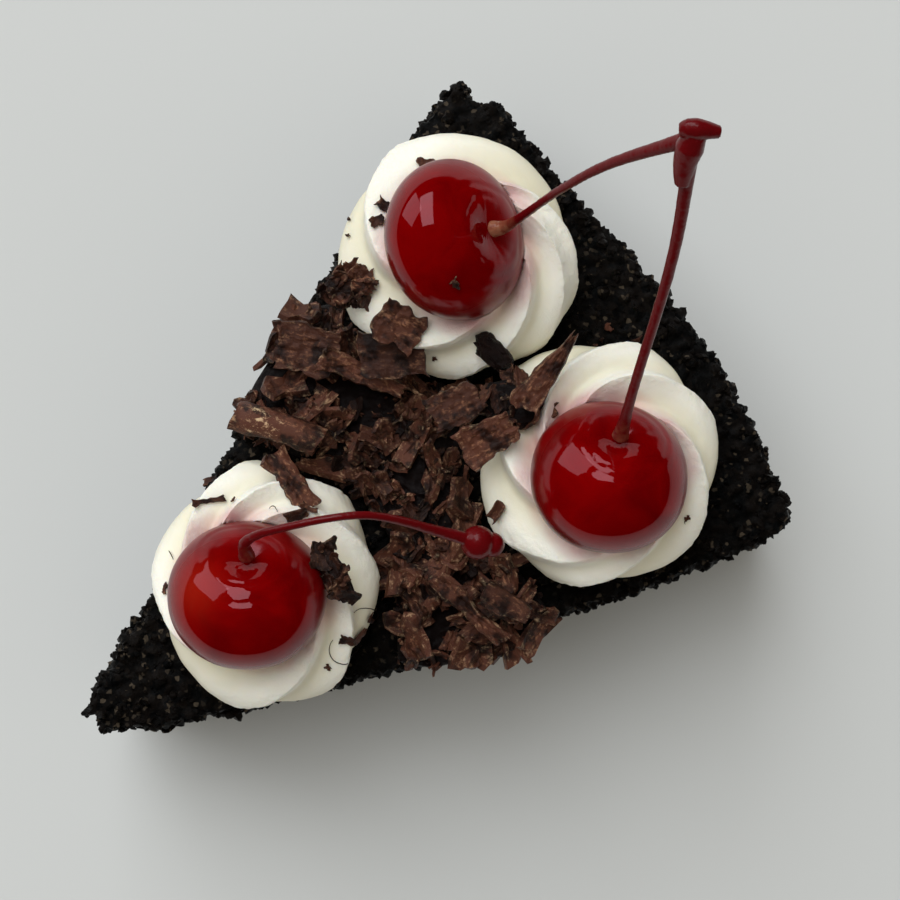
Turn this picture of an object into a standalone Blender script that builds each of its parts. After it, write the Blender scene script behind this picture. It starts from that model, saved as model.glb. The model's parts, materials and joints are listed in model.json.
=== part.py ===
"""A slice of black forest cake.

A wedge of dark crumb carries three piped cream swirls, each with a cherry on its stem, and a heap
of chocolate shavings between them. Metres, +Z up. The slice points along -Y and rests on the
plane z = 0, with the middle of its box over the origin.

Run with: blender --background --python part.py
"""

import math
from collections import namedtuple

import bmesh
import bpy
from mathutils import Matrix, Vector, noise
from mathutils.bvhtree import BVHTree
from mathutils.geometry import delaunay_2d_cdt, intersect_line_line_2d

MM = 0.001

# The slice, seen from above: its point is near (0, 0) and its outer rim lies across +Y.
SLICE_MIDDLE = Vector((0.0, 62.0)) * MM
SPONGE_HEIGHT = 40.0 * MM
CRUMB_SIZE = 3.3 * MM
CRUMB_DEPTH = 1.0 * MM
OUTLINE_STEP = 3.3 * MM
OUTLINE_ROUGHNESS = 0.45 * MM
EDGE_ROUNDING = 0.7 * MM
EDGE_DROP = 0.3 * MM
WALL_LEVELS = 6
TOP_STEP = 4.2 * MM
HEX_ROW = math.sqrt(0.75)
MERGE_DISTANCE = 0.001 * MM

# Each side bulges outwards by bulge, most at the place that lean sets, more evenly the lower
# evenness is. The point of the slice is broken off to two prongs, and its left corner to a tooth.
Side = namedtuple("Side", "start end bulge lean evenness")
RIGHT_SIDE = Side(Vector((3.4, 2.0)) * MM, Vector((39.2, 93.9)) * MM, 3.4 * MM, 0.9, 0.55)
RIM = Side(Vector((-31.5, 98.0)) * MM, Vector((39.2, 93.9)) * MM, 4.5 * MM, 1.5, 0.75)
LEFT_SIDE = Side(Vector((-2.6, 1.8)) * MM, Vector((-38.7, 91.6)) * MM, 1.2 * MM, 2.0, 0.80)
LEFT_TOOTH = [(-33.0, 98.3), (-35.0, 95.6), (-36.8, 96.2), (-38.6, 96.0)]
POINT_PRONGS = [(-1.5, -0.8), (0.4, 0.5), (2.8, -0.8)]

# Pieces that touch keep this gap, and a cherry a wider one to the facets of its seat.
GAP = 0.3 * MM
SEAT_GAP = 0.75 * MM
REST_GAP = 0.35 * MM

# A piped swirl is a low dome with six sharp ridges that wind outwards clockwise. Rise is the
# angle up the dome, below 0 where it curls in under its widest place. The ridges turn by lean
# for each radian of rise, and by turn times what the dome has narrowed.
SWIRL_HEIGHT = 12.0 * MM
SWIRL_WIDEST_AT = 3.6 * MM
SWIRL_TOP_RISE = math.radians(84)
SWIRL_FOOT_RISE = math.radians(-32)
SWIRL_LEAN = 0.7
SWIRL_TURN = 2.8
SWIRL_FULLNESS = 0.88
RIDGE_HEIGHT = 2.6 * MM
RIDGE_SHARPNESS = 0.85
RIDGE_STEPS = 5
SWIRL_ROWS = 15

# Stretch lengthens a swirl along the bearing in which all three were piped a little long.
LONG_BEARING = math.radians(142)
Swirl = namedtuple("Swirl", "name centre radius stretch ridge_bearings")
SWIRLS = (
    Swirl("cream_point", (0.3 * MM, 31.5 * MM), 15.7 * MM, 1.10, (22, 60, 102, 172, 267, 328)),
    Swirl("cream_left", (-19.1 * MM, 79.9 * MM), 17.1 * MM, 1.00, (19, 97, 212, 292, 322, 350)),
    Swirl("cream_right", (15.0 * MM, 77.5 * MM), 16.9 * MM, 1.03, (40, 97, 147, 240, 287, 332)),
)

# A cherry is flattened along its stem axis, which leans over towards its bearing.
CHERRY_SIDES = 18
CHERRY_ROWS = 11
DIMPLE_DEPTH = 2.2 * MM
DIMPLE_SPREAD = math.radians(20)
CHERRY_CENTRE_HEIGHT = SPONGE_HEIGHT + 15.0 * MM

Cherry = namedtuple("Cherry", "name centre half_width half_height bearing lean")
CHERRIES = (
    Cherry("cherry_point", (0.0 * MM, 30.1 * MM), 10.4 * MM, 8.8 * MM, 137, 42),
    Cherry("cherry_left", (-20.1 * MM, 79.8 * MM), 10.6 * MM, 7.8 * MM, 63, 46),
    Cherry("cherry_right", (16.9 * MM, 76.7 * MM), 10.5 * MM, 9.2 * MM, 132, 40),
)

# Stems: each runs from the dimple of its cherry through these places, thick at both ends.
STEM_SIDES = 8
STEM_RISE = 3.2 * MM
STEM_FOOT_RADIUS = 1.45 * MM
STEM_RADIUS = 0.70 * MM
STEM_TIP_RADIUS = 1.00 * MM
STEM_FOOT_LENGTH = 5.5 * MM
LEFT_STEM_COURSE = (
    Vector((-15.2, 92.2, 77.0)) * MM,
    Vector((-13.4, 97.6, 85.5)) * MM,
    Vector((-9.8, 104.2, 94.6)) * MM,
)
RIGHT_STEM_COURSE = (
    Vector((8.9, 85.6, 69.0)) * MM,
    Vector((-0.3, 96.5, 84.0)) * MM,
    Vector((-8.6, 104.1, 95.8)) * MM,
)
POINT_STEM_COURSE = (
    Vector((-4.1, 40.0, 66.4)) * MM,
    Vector((1.1, 49.3, 66.0)) * MM,
    Vector((9.0, 55.4, 58.6)) * MM,
    Vector((12.6, 57.9, 56.2)) * MM,
)
SPUR_COURSE = (
    Vector((-6.2, 101.2, 92.6)) * MM,
    Vector((-8.0, 102.9, 94.6)) * MM,
    Vector((-9.5, 105.0, 97.0)) * MM,
)
SPUR_RADII = (0.85, 1.20, 1.45, 1.70, 1.35)
SPUR_CAP_COURSE = (
    Vector((-11.0, 103.9, 97.2)) * MM,
    Vector((-9.8, 105.4, 97.6)) * MM,
    Vector((-8.0, 107.3, 97.0)) * MM,
)
SPUR_CAP_RADII = (0.75, 1.20, 1.25, 1.05, 0.75)
KNOB = Vector((12.9, 58.1, 56.0)) * MM
KNOB_RADIUS = 1.75 * MM
KNOB_LOBE = Vector((14.3, 59.4, 55.4)) * MM
KNOB_LOBE_RADIUS = 1.45 * MM

# The heap of shavings fills the middle, between the swirls and out to the cut sides.
HEAP_MIDDLE = Vector((1.0, 54.5)) * MM
HEAP_HALF_LENGTH = 28.0 * MM
HEAP_HALF_WIDTH = 20.5 * MM
HEAP_OVERHANG = 0.8 * MM
HEAP_EDGE = 0.9 * MM
HEAP_RISE = 2.8 * MM
HEAP_SLOPE = 7.5 * MM
HEAP_LUMP_SIZE = 4.2 * MM
HEAP_LUMP_HEIGHT = 1.5 * MM
HEAP_STEP = 3.1 * MM
HEAP_OUTLINE_POINTS = 64
HEAP_SWIRL_GAP = 0.6 * MM
HEAP_UNEVENNESS = 0.14

# Shavings: a thin plate, rolled across its width by curl and bowed along its length by bend.
# It narrows by taper, is turned to its bearing, tipped nose up and rolled, and then laid down.
SHAVING_ROWS = 6
SHAVING_COLUMNS = 3
CURL_PER_COLUMN = 40
RAGGEDNESS = 0.45 * MM
Shaving = namedtuple(
    "Shaving", "name length width thickness curl bend taper at bearing tip roll"
)
SHAVINGS = (
    Shaving("shaving_log", 12.2, 9.6, 0.9, 290, 4, 0.0, (-16.6, 47.6), 34, -3, 95),
    Shaving("shaving_flake", 8.4, 6.8, 0.9, 35, 20, 0.1, (-21.6, 55.8), 40, 4, 6),
    Shaving("shaving_sliver", 12.4, 3.4, 0.8, 70, 45, 0.5, (-14.2, 59.6), 28, 0, 10),
    Shaving("shaving_plate", 9.2, 6.4, 0.9, 22, 10, 0.1, (-13.4, 64.6), 52, 8, 8),
    Shaving("shaving_chip", 6.6, 5.6, 0.8, 40, 25, 0.1, (-15.8, 67.6), 26, -4, 12),
    Shaving("shaving_stick", 9.4, 4.0, 1.0, 110, 6, 0.1, (-8.6, 43.6), -4, 2, 0),
    Shaving("shaving_leaf", 10.6, 4.8, 0.9, 60, 18, 0.3, (4.4, 40.6), -11, -4, -40),
    Shaving("shaving_splint", 12.6, 3.8, 1.0, 90, 8, 0.2, (19.8, 51.8), 7, -5, 0),
    Shaving("shaving_curl", 6.8, 8.0, 0.8, 270, 6, 0.1, (21.6, 57.0), 19, -6, 80),
    Shaving("shaving_oval", 7.0, 5.0, 0.8, 30, 20, 0.2, (-3.0, 66.6), 75, 6, 0),
    Shaving("shaving_spike", 12.0, 4.4, 1.1, 50, 14, 0.85, (0.8, 79.2), 107, 12, 0),
    Shaving("shaving_pale", 7.4, 5.2, 0.8, 50, 25, 0.3, (3.0, 67.6), 80, 8, 12),
)
Chunk = namedtuple("Chunk", "name half_sizes at bearing")
CHUNKS = (
    Chunk("shaving_chunk", (5.0, 4.0, 1.9), (1.6, 73.2), 52),
    Chunk("shaving_nub", (2.9, 1.7, 1.6), (-5.4, 75.2), 7),
    Chunk("shaving_crumple", (3.7, 2.6, 1.7), (-23.8, 65.6), 69),
)
CHUNK_SUBDIVISIONS = 2
CHUNK_ROUGHNESS = 0.9 * MM
DROP_HEIGHT = 30.0 * MM

SPONGE_COLOUR = (0.020, 0.012, 0.009)
CREAM_COLOUR = (0.83, 0.79, 0.68)
CHERRY_COLOUR = (0.29, 0.004, 0.006)
STEM_COLOUR = (0.16, 0.012, 0.012)
CHOCOLATE_COLOUR = (0.105, 0.047, 0.031)


def clear_scene():
    """Remove every object that the file starts with."""
    for old in list(bpy.data.objects):
        bpy.data.objects.remove(old, do_unlink=True)


def material(name, colour, roughness):
    """A plain Principled material."""
    made = bpy.data.materials.new(name)
    made.use_nodes = True
    shader = made.node_tree.nodes["Principled BSDF"]
    shader.inputs["Base Color"].default_value = (*colour, 1.0)
    shader.inputs["Roughness"].default_value = roughness
    shader.inputs["Metallic"].default_value = 0.0
    return made


def add_piece(name, shell, finish, smooth=True):
    """Turn a bmesh into a named object with its faces pointing out."""
    bmesh.ops.recalc_face_normals(shell, faces=shell.faces)
    bmesh.ops.triangulate(shell, faces=shell.faces)
    mesh = bpy.data.meshes.new(name)
    shell.to_mesh(mesh)
    shell.free()
    mesh.materials.append(finish)
    if smooth:
        mesh.shade_smooth()
    piece = bpy.data.objects.new(name, mesh)
    bpy.context.scene.collection.objects.link(piece)
    return piece


def solid_bvh(piece, growth=0.0):
    """The faces of a piece for ray casts, grown outwards if asked."""
    mesh = piece.data
    corners = [v.co + v.normal * growth for v in mesh.vertices]
    return BVHTree.FromPolygons(corners, [tuple(p.vertices) for p in mesh.polygons])


def lumps(place, size, seed=0.0):
    """Smooth uneven relief between 0 and 1 at a place, with lumps of the size given."""
    return 0.5 + 0.5 * noise.noise(place / size + Vector((seed, 2.0 * seed, 3.0 * seed)))


def join_ring(shell, low, high):
    """Close the wall between two rings of as many points."""
    for i in range(len(low)):
        j = (i + 1) % len(low)
        shell.faces.new((low[i], low[j], high[j], high[i]))


def cap_ring(shell, ring, tip):
    """Close a ring with a fan to one point."""
    for i in range(len(ring)):
        shell.faces.new((ring[i], ring[(i + 1) % len(ring)], tip))


# ---- sponge -------------------------------------------------------------------------------


def side_points(side):
    """points along one bulging side, from its start to its end."""
    run = side.end - side.start
    out = Vector((run.y, -run.x)).normalized()
    if out.dot(side.start + run / 2 - SLICE_MIDDLE) < 0:
        out = -out
    count = round(run.length / OUTLINE_STEP)
    points = []
    for i in range(count + 1):
        t = i / count
        swell = side.bulge * abs(math.sin(math.pi * t**side.lean)) ** side.evenness
        place = side.start + run * t
        rough = (lumps(place.to_3d(), CRUMB_SIZE, seed=7.0) - 0.5) * 2.0 * OUTLINE_ROUGHNESS
        points.append(place + out * (swell + rough))
    return points


def slice_outline():
    """The slice's outline, counter-clockwise from its point."""
    right = side_points(RIGHT_SIDE)[:-1]
    rim = side_points(RIM)[::-1]
    tooth = [Vector(p) * MM for p in LEFT_TOOTH]
    left = side_points(LEFT_SIDE)[::-1]
    prongs = [Vector(p) * MM for p in POINT_PRONGS]
    return right + rim + tooth + left + prongs


def shrunk(outline, amount):
    """An outline moved inwards by an amount along its own normals."""
    moved = []
    for i, place in enumerate(outline):
        along = outline[(i + 1) % len(outline)] - outline[i - 1]
        inward = Vector((-along.y, along.x)).normalized()
        moved.append(place + inward * amount)
    return moved


def distance_inside(outline, place):
    """How far a place lies inside an outline, or less than 0 outside it."""
    inside = False
    nearest = math.inf
    for i, start in enumerate(outline):
        end = outline[(i + 1) % len(outline)]
        run = end - start
        t = max(0.0, min(1.0, (place - start).dot(run) / run.length_squared))
        nearest = min(nearest, (start + run * t - place).length)
        if (start.y > place.y) != (end.y > place.y):
            inside ^= place.x < start.x + run.x * (place.y - start.y) / run.y
    return nearest if inside else -nearest


def filled_top(shell, outline, step, height_at):
    """Fill an outline with an even net of triangles, at the height that the function gives."""
    low = Vector((min(p.x for p in outline), min(p.y for p in outline)))
    high = Vector((max(p.x for p in outline), max(p.y for p in outline)))
    places = [p.copy() for p in outline]
    row_step = step * HEX_ROW
    for row in range(int((high.y - low.y) / row_step) + 1):
        for column in range(int((high.x - low.x) / step) + 1):
            place = low + Vector(((column + 0.5 * (row % 2)) * step, row * row_step))
            if distance_inside(outline, place) > 0.6 * step:
                places.append(place)
    loop = [list(range(len(outline)))]
    flat, _, faces, _, _, _ = delaunay_2d_cdt(places, [], loop, 1, 1e-9)
    corners = [shell.verts.new((p.x, p.y, height_at(p))) for p in flat]
    for face in faces:
        shell.faces.new([corners[i] for i in face])


def ring_at(outline, height, relief):
    """One level of the crumb wall, pushed in and out by its crumbs."""
    level = []
    for i, place in enumerate(outline):
        along = outline[(i + 1) % len(outline)] - outline[i - 1]
        out = Vector((along.y, -along.x)).normalized()
        push = (lumps(Vector((*place, height)), CRUMB_SIZE) - 0.5) * 2.0 * relief
        level.append(Vector((*(place + out * push), height)))
    return level


def sponge_top(place):
    """The crumb surface on top never rises above the sponge's height."""
    return SPONGE_HEIGHT - CRUMB_DEPTH * lumps(place.to_3d(), CRUMB_SIZE, seed=5.0)


def rim_key(place):
    """A key that finds the same place in plan again."""
    return round(place.x, 7), round(place.y, 7)


def build_sponge(finish):
    """The wedge of dark crumb, flat below and rough on its sides and its top."""
    outline = slice_outline()
    inner = shrunk(outline, EDGE_ROUNDING)
    low_level = EDGE_ROUNDING
    high_level = SPONGE_HEIGHT - CRUMB_DEPTH - 2.0 * EDGE_ROUNDING
    levels = [[p.to_3d() for p in shrunk(outline, EDGE_ROUNDING / 2)]]
    for row in range(WALL_LEVELS):
        height = low_level + (high_level - low_level) * row / (WALL_LEVELS - 1)
        levels.append(ring_at(outline, height, CRUMB_DEPTH))
    levels.append([Vector((p.x, p.y, sponge_top(p) - EDGE_DROP)) for p in inner])
    shell = bmesh.new()
    rings = [[shell.verts.new(p) for p in level] for level in levels]
    for low, high in zip(rings, rings[1:]):
        join_ring(shell, low, high)
    shell.faces.new(rings[0][::-1])
    rim_heights = {rim_key(p): p.z for p in levels[-1]}
    filled_top(
        shell, inner, TOP_STEP, lambda p: rim_heights.get(rim_key(p), sponge_top(p))
    )
    bmesh.ops.remove_doubles(shell, verts=shell.verts, dist=MERGE_DISTANCE)
    return add_piece("sponge", shell, finish, smooth=False)


# ---- cherries -----------------------------------------------------------------------------


def cherry_axis(cherry):
    """The direction from a cherry's centre to the foot of its stem."""
    lean = math.radians(cherry.lean)
    bearing = math.radians(cherry.bearing)
    flat = math.sin(lean)
    return Vector((flat * math.cos(bearing), flat * math.sin(bearing), math.cos(lean)))


def cherry_centre(cherry):
    """The middle of a cherry."""
    return Vector((*cherry.centre, CHERRY_CENTRE_HEIGHT))


def cherry_profile(cherry, angle):
    """Radius and height of a cherry's skin at an angle from its stem end."""
    dimple = DIMPLE_DEPTH * math.exp(-((angle / DIMPLE_SPREAD) ** 2))
    shoulder = 1.0 + 0.05 * math.cos(angle)
    radius = cherry.half_width * math.sin(angle) * shoulder
    return radius, cherry.half_height * math.cos(angle) - dimple


def build_cherry(cherry, finish):
    """A cherry with the dimple that its stem stands in."""
    shell = bmesh.new()
    rings = []
    for row in range(1, CHERRY_ROWS):
        angle = math.pi * (row / CHERRY_ROWS) ** 1.12
        radius, height = cherry_profile(cherry, angle)
        turns = [math.tau * i / CHERRY_SIDES for i in range(CHERRY_SIDES)]
        ring = [(radius * math.cos(a), radius * math.sin(a), height) for a in turns]
        rings.append([shell.verts.new(p) for p in ring])
    for low, high in zip(rings, rings[1:]):
        join_ring(shell, low, high)
    cap_ring(shell, rings[0], shell.verts.new((0, 0, cherry_profile(cherry, 0.0)[1])))
    cap_ring(shell, rings[-1], shell.verts.new((0, 0, cherry_profile(cherry, math.pi)[1])))
    turn = Vector((0, 0, 1)).rotation_difference(cherry_axis(cherry)).to_matrix().to_4x4()
    bmesh.ops.transform(
        shell, matrix=Matrix.Translation(cherry_centre(cherry)) @ turn, verts=shell.verts
    )
    return add_piece(cherry.name, shell, finish)


# ---- cream --------------------------------------------------------------------------------


def ridge_lines(swirl):
    """Bearing, groove depth on top and groove depth at the side of each line up the swirl."""
    bearings = sorted(swirl.ridge_bearings)
    even_width = 360 / len(bearings)
    lines = []
    for i, start in enumerate(bearings):
        end = bearings[(i + 1) % len(bearings)]
        width = (end - start) % 360
        for step in range(RIDGE_STEPS):
            t = step / RIDGE_STEPS
            groove = RIDGE_HEIGHT * math.sin(math.pi * t) ** RIDGE_SHARPNESS
            side_groove = groove * min(1.0, (even_width / width) ** 2)
            lines.append((math.radians(start + width * t), groove, side_groove))
    return lines


def swirl_point(swirl, rise, bearing, groove, side_groove):
    """A point of the piped surface: rise is the angle up the dome, from foot to top."""
    flat = max(0.0, math.cos(rise))
    lift = math.sin(rise)
    radius = swirl.radius * flat**SWIRL_FULLNESS
    room = SWIRL_WIDEST_AT / -math.sin(SWIRL_FOOT_RISE)
    if lift > 0:
        room = SWIRL_HEIGHT - SWIRL_WIDEST_AT
    height = SWIRL_WIDEST_AT + room * lift
    radius -= side_groove * flat**2
    height -= groove * min(1.0, 1.6 * flat) * max(0.0, lift)
    turned = bearing + SWIRL_LEAN * rise + SWIRL_TURN * (1.0 - flat if lift > 0 else 0.0)
    place = Vector((radius * math.cos(turned), radius * math.sin(turned), height))
    long_way = Vector((math.cos(LONG_BEARING), math.sin(LONG_BEARING), 0.0))
    place += long_way * place.dot(long_way) * (swirl.stretch - 1.0)
    return place + Vector((*swirl.centre, SPONGE_HEIGHT + GAP))


def seated(place, cherry_skin):
    """Lower a point of the cream to just below the cherry, where it lies under it."""
    start = Vector((place.x, place.y, SPONGE_HEIGHT))
    hit = cherry_skin.ray_cast(start, Vector((0, 0, 1)))[0]
    if hit is not None and hit.z < place.z:
        return hit
    return place


def build_swirl(swirl, cherry_piece, finish):
    """A piped swirl of cream with the seat that its cherry presses into it."""
    cherry_skin = solid_bvh(cherry_piece, SEAT_GAP)
    lines = ridge_lines(swirl)
    shell = bmesh.new()
    rings = []
    for row in range(SWIRL_ROWS):
        rise = SWIRL_FOOT_RISE + (SWIRL_TOP_RISE - SWIRL_FOOT_RISE) * row / (SWIRL_ROWS - 1)
        ring = [swirl_point(swirl, rise, *line) for line in lines]
        rings.append([shell.verts.new(seated(p, cherry_skin)) for p in ring])
    for low, high in zip(rings, rings[1:]):
        join_ring(shell, low, high)
    shell.faces.new(rings[0][::-1])
    middle = Vector((*swirl.centre, SPONGE_HEIGHT + SWIRL_HEIGHT))
    cap_ring(shell, rings[-1], shell.verts.new(seated(middle, cherry_skin)))
    return add_piece(swirl.name, shell, finish)


# ---- stems --------------------------------------------------------------------------------


def smooth_course(places, steps):
    """Points along a smooth curve through the places given."""
    padded = [2 * places[0] - places[1], *places, 2 * places[-1] - places[-2]]
    course = []
    for a, b, c, d in zip(padded, padded[1:], padded[2:], padded[3:]):
        for step in range(steps):
            t = step / steps
            course.append(
                0.5 * (2 * b + (c - a) * t + (2 * a - 5 * b + 4 * c - d) * t**2
                       + (3 * b - a - 3 * c + d) * t**3)
            )
    course.append(places[-1])
    return course


def tube(name, course, radii, finish):
    """A closed round bar along a course, with its own radius at every point."""
    shell = bmesh.new()
    rings = []
    side = Vector((1, 0, 0))
    for i, place in enumerate(course):
        along = (course[min(i + 1, len(course) - 1)] - course[max(i - 1, 0)]).normalized()
        side = (side - along * side.dot(along)).normalized()
        up = along.cross(side)
        ring = []
        for corner in range(STEM_SIDES):
            turn = math.tau * corner / STEM_SIDES
            ring.append(place + (side * math.cos(turn) + up * math.sin(turn)) * radii[i])
        rings.append([shell.verts.new(p) for p in ring])
    for low, high in zip(rings, rings[1:]):
        join_ring(shell, low, high)
    shell.faces.new(rings[0][::-1])
    shell.faces.new(rings[-1])
    return add_piece(name, shell, finish)


def build_stem(name, cherry, course, steps, finish):
    """A stem that stands in its cherry's dimple and follows its course."""
    axis = cherry_axis(cherry)
    foot_height = cherry_profile(cherry, 0.0)[1] + GAP + 0.5 * STEM_FOOT_RADIUS
    foot = cherry_centre(cherry) + axis * foot_height
    line = smooth_course([foot, foot + axis * STEM_RISE, *course], steps)
    radii = []
    walked = 0.0
    total = sum((b - a).length for a, b in zip(line, line[1:]))
    for i, place in enumerate(line):
        walked += (place - line[i - 1]).length if i else 0.0
        foot_flare = (STEM_FOOT_RADIUS - STEM_RADIUS) * math.exp(-walked / STEM_FOOT_LENGTH * 2)
        tip_flare = (STEM_TIP_RADIUS - STEM_RADIUS) * (walked / total) ** 4
        radii.append(STEM_RADIUS + foot_flare + tip_flare)
    return tube(name, line, radii, finish)


def ball(name, centre, radius, finish):
    """A round lump of stem."""
    shell = bmesh.new()
    bmesh.ops.create_icosphere(
        shell, subdivisions=2, radius=radius, matrix=Matrix.Translation(centre)
    )
    return add_piece(name, shell, finish)


def weld_on(piece, other):
    """Join another piece into this one with a Boolean, and leave it out of the model."""
    weld = piece.modifiers.new("weld", "BOOLEAN")
    weld.operation = "UNION"
    weld.solver = "EXACT"
    weld.object = other
    other.hide_render = True
    other.display_type = "WIRE"


def in_metres(sizes):
    """Sizes in millimetres turned to metres."""
    return [size * MM for size in sizes]


def build_twin_stem(finish):
    """Two stems that grow from one spur."""
    spur = tube("twin_stem", smooth_course(SPUR_COURSE, 2), in_metres(SPUR_RADII), finish)
    cap_line = smooth_course(SPUR_CAP_COURSE, 2)
    weld_on(spur, tube("spur_cap_guide", cap_line, in_metres(SPUR_CAP_RADII), finish))
    weld_on(spur, build_stem("left_stem_guide", CHERRIES[1], LEFT_STEM_COURSE, 4, finish))
    weld_on(spur, build_stem("right_stem_guide", CHERRIES[2], RIGHT_STEM_COURSE, 4, finish))
    return spur


def build_single_stem(finish):
    """The stem of the cherry at the point, which ends in a knob."""
    stem = build_stem("single_stem", CHERRIES[0], POINT_STEM_COURSE, 3, finish)
    weld_on(stem, ball("knob_guide", KNOB, KNOB_RADIUS, finish))
    weld_on(stem, ball("knob_lobe_guide", KNOB_LOBE, KNOB_LOBE_RADIUS, finish))
    return stem


# ---- shavings -----------------------------------------------------------------------------


def heap_reach(bearing, outline):
    """How far the heap spreads from its middle in one direction."""
    way = Vector((math.cos(bearing), math.sin(bearing)))
    own = 1.0 / math.hypot(way.x / HEAP_HALF_LENGTH, way.y / HEAP_HALF_WIDTH)
    reach = own * (1.0 + HEAP_UNEVENNESS * (lumps(way.to_3d(), 0.35, seed=9.0) - 0.5))
    far = HEAP_MIDDLE + way
    for i, start in enumerate(outline):
        hit = intersect_line_line_2d(HEAP_MIDDLE, far, start, outline[(i + 1) % len(outline)])
        if hit is not None:
            reach = min(reach, (hit - HEAP_MIDDLE).length + HEAP_OVERHANG)
    for swirl in SWIRLS:
        to_swirl = Vector(swirl.centre) - HEAP_MIDDLE
        along = to_swirl.dot(way)
        aside = (to_swirl - way * along).length
        clear = swirl.radius * swirl.stretch + HEAP_SWIRL_GAP
        if along > 0 and aside < clear:
            reach = min(reach, along - math.sqrt(clear**2 - aside**2))
    return reach


def build_heap(finish):
    """The heap of small shavings as one lumpy layer out to its uneven edge."""
    cake = slice_outline()
    turns = [math.tau * i / HEAP_OUTLINE_POINTS for i in range(HEAP_OUTLINE_POINTS)]
    outline = []
    for turn in turns:
        way = Vector((math.cos(turn), math.sin(turn)))
        outline.append(HEAP_MIDDLE + way * heap_reach(turn, cake))
    base = SPONGE_HEIGHT + GAP

    def height_at(place):
        inside = max(0.0, distance_inside(outline, place)) / HEAP_SLOPE
        rise = HEAP_RISE * min(1.0, inside)
        bump = HEAP_LUMP_HEIGHT * lumps(place.to_3d(), HEAP_LUMP_SIZE, seed=3.0)
        return base + HEAP_EDGE + rise + bump * min(1.0, 0.4 + inside)

    shell = bmesh.new()
    low = [shell.verts.new((p.x, p.y, base)) for p in outline]
    high = [shell.verts.new((p.x, p.y, height_at(p))) for p in outline]
    join_ring(shell, low, high)
    shell.faces.new(low[::-1])
    filled_top(shell, outline, HEAP_STEP, height_at)
    bmesh.ops.remove_doubles(shell, verts=shell.verts, dist=MERGE_DISTANCE)
    return add_piece("shavings_heap", shell, finish, smooth=False)


def plate_point(shaving, u, v, lift):
    """A point of a curled plate: u runs along it, v across it, and lift through it."""
    length = shaving.length * MM
    width = shaving.width * MM * (1.0 - shaving.taper * u)
    curl = math.radians(shaving.curl)
    bend = math.radians(shaving.bend)
    roll_radius = shaving.width * MM / curl
    angle = curl * (v - 0.5) * width / (shaving.width * MM)
    across = (roll_radius - lift) * math.sin(angle)
    up = roll_radius - (roll_radius - lift) * math.cos(angle)
    bow_radius = length / bend
    along = (bow_radius - up) * math.sin(bend * (u - 0.5))
    up = bow_radius - (bow_radius - up) * math.cos(bend * (u - 0.5))
    return Vector((along, across, up))


def torn(place, u, v, name):
    """Tear the rim of a plate a little out of line."""
    if 0.0 < u < 1.0 and 0.0 < v < 1.0:
        return place
    seed = float(sum(map(ord, name)) % 97)
    tear = (lumps(Vector((u, v, 0.0)), 0.21, seed) - 0.5) * 2.0 * RAGGEDNESS
    return place + Vector((tear if u in (0.0, 1.0) else 0.0, tear if v in (0.0, 1.0) else 0.0, 0))


def rim_of(grid):
    """The points round the edge of a grid, in order."""
    first = grid[0][:-1]
    last = grid[-1][:0:-1]
    far = [row[-1] for row in grid[:-1]]
    near = [row[0] for row in grid[:0:-1]]
    return first + far + last + near


def build_shaving(shaving, finish):
    """One large shaving, curled and torn, high above the slice."""
    rows = SHAVING_ROWS
    columns = max(SHAVING_COLUMNS, round(shaving.curl / CURL_PER_COLUMN))
    shell = bmesh.new()
    faces = []
    for lift in (-0.5, 0.5):
        grid = []
        for row in range(rows + 1):
            line = []
            for column in range(columns + 1):
                u = row / rows
                v = column / columns
                place = plate_point(shaving, u, v, lift * shaving.thickness * MM)
                line.append(shell.verts.new(torn(place, u, v, shaving.name)))
            grid.append(line)
        faces.append(grid)
    under, over = faces
    for grid in faces:
        for row in range(rows):
            for column in range(columns):
                shell.faces.new(
                    (grid[row][column], grid[row + 1][column],
                     grid[row + 1][column + 1], grid[row][column + 1])
                )
    join_ring(shell, rim_of(under), rim_of(over))
    turn = Matrix.Rotation(math.radians(shaving.bearing), 4, "Z")
    turn @= Matrix.Rotation(math.radians(-shaving.tip), 4, "Y")
    turn @= Matrix.Rotation(math.radians(shaving.roll), 4, "X")
    spot = Vector((*shaving.at, 0.0)) * MM + Vector((0, 0, SPONGE_HEIGHT + DROP_HEIGHT))
    bmesh.ops.transform(shell, matrix=Matrix.Translation(spot) @ turn, verts=shell.verts)
    return add_piece(shaving.name, shell, finish)


def build_chunk(chunk, finish):
    """A lump of torn chocolate, high above the slice."""
    shell = bmesh.new()
    bmesh.ops.create_icosphere(shell, subdivisions=CHUNK_SUBDIVISIONS, radius=1.0)
    size = Vector(chunk.half_sizes) * MM
    for corner in shell.verts:
        out = corner.co.copy()
        rough = (lumps(out, 0.55, seed=len(chunk.name)) - 0.5) * 2.0 * CHUNK_ROUGHNESS
        corner.co = Vector((out.x * size.x, out.y * size.y, out.z * size.z)) + out * rough
    turn = Matrix.Rotation(math.radians(chunk.bearing), 4, "Z")
    spot = Vector((*chunk.at, 0.0)) * MM + Vector((0, 0, SPONGE_HEIGHT + DROP_HEIGHT))
    bmesh.ops.transform(shell, matrix=Matrix.Translation(spot) @ turn, verts=shell.verts)
    return add_piece(chunk.name, shell, finish, smooth=False)


def sample_points(piece):
    """The corners of a piece and the middles of its edges and faces."""
    mesh = piece.data
    corners = [v.co.copy() for v in mesh.vertices]
    middles = [(corners[a] + corners[b]) / 2 for a, b in (e.vertices for e in mesh.edges)]
    centres = [p.center.copy() for p in mesh.polygons]
    return corners + middles + centres


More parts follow.
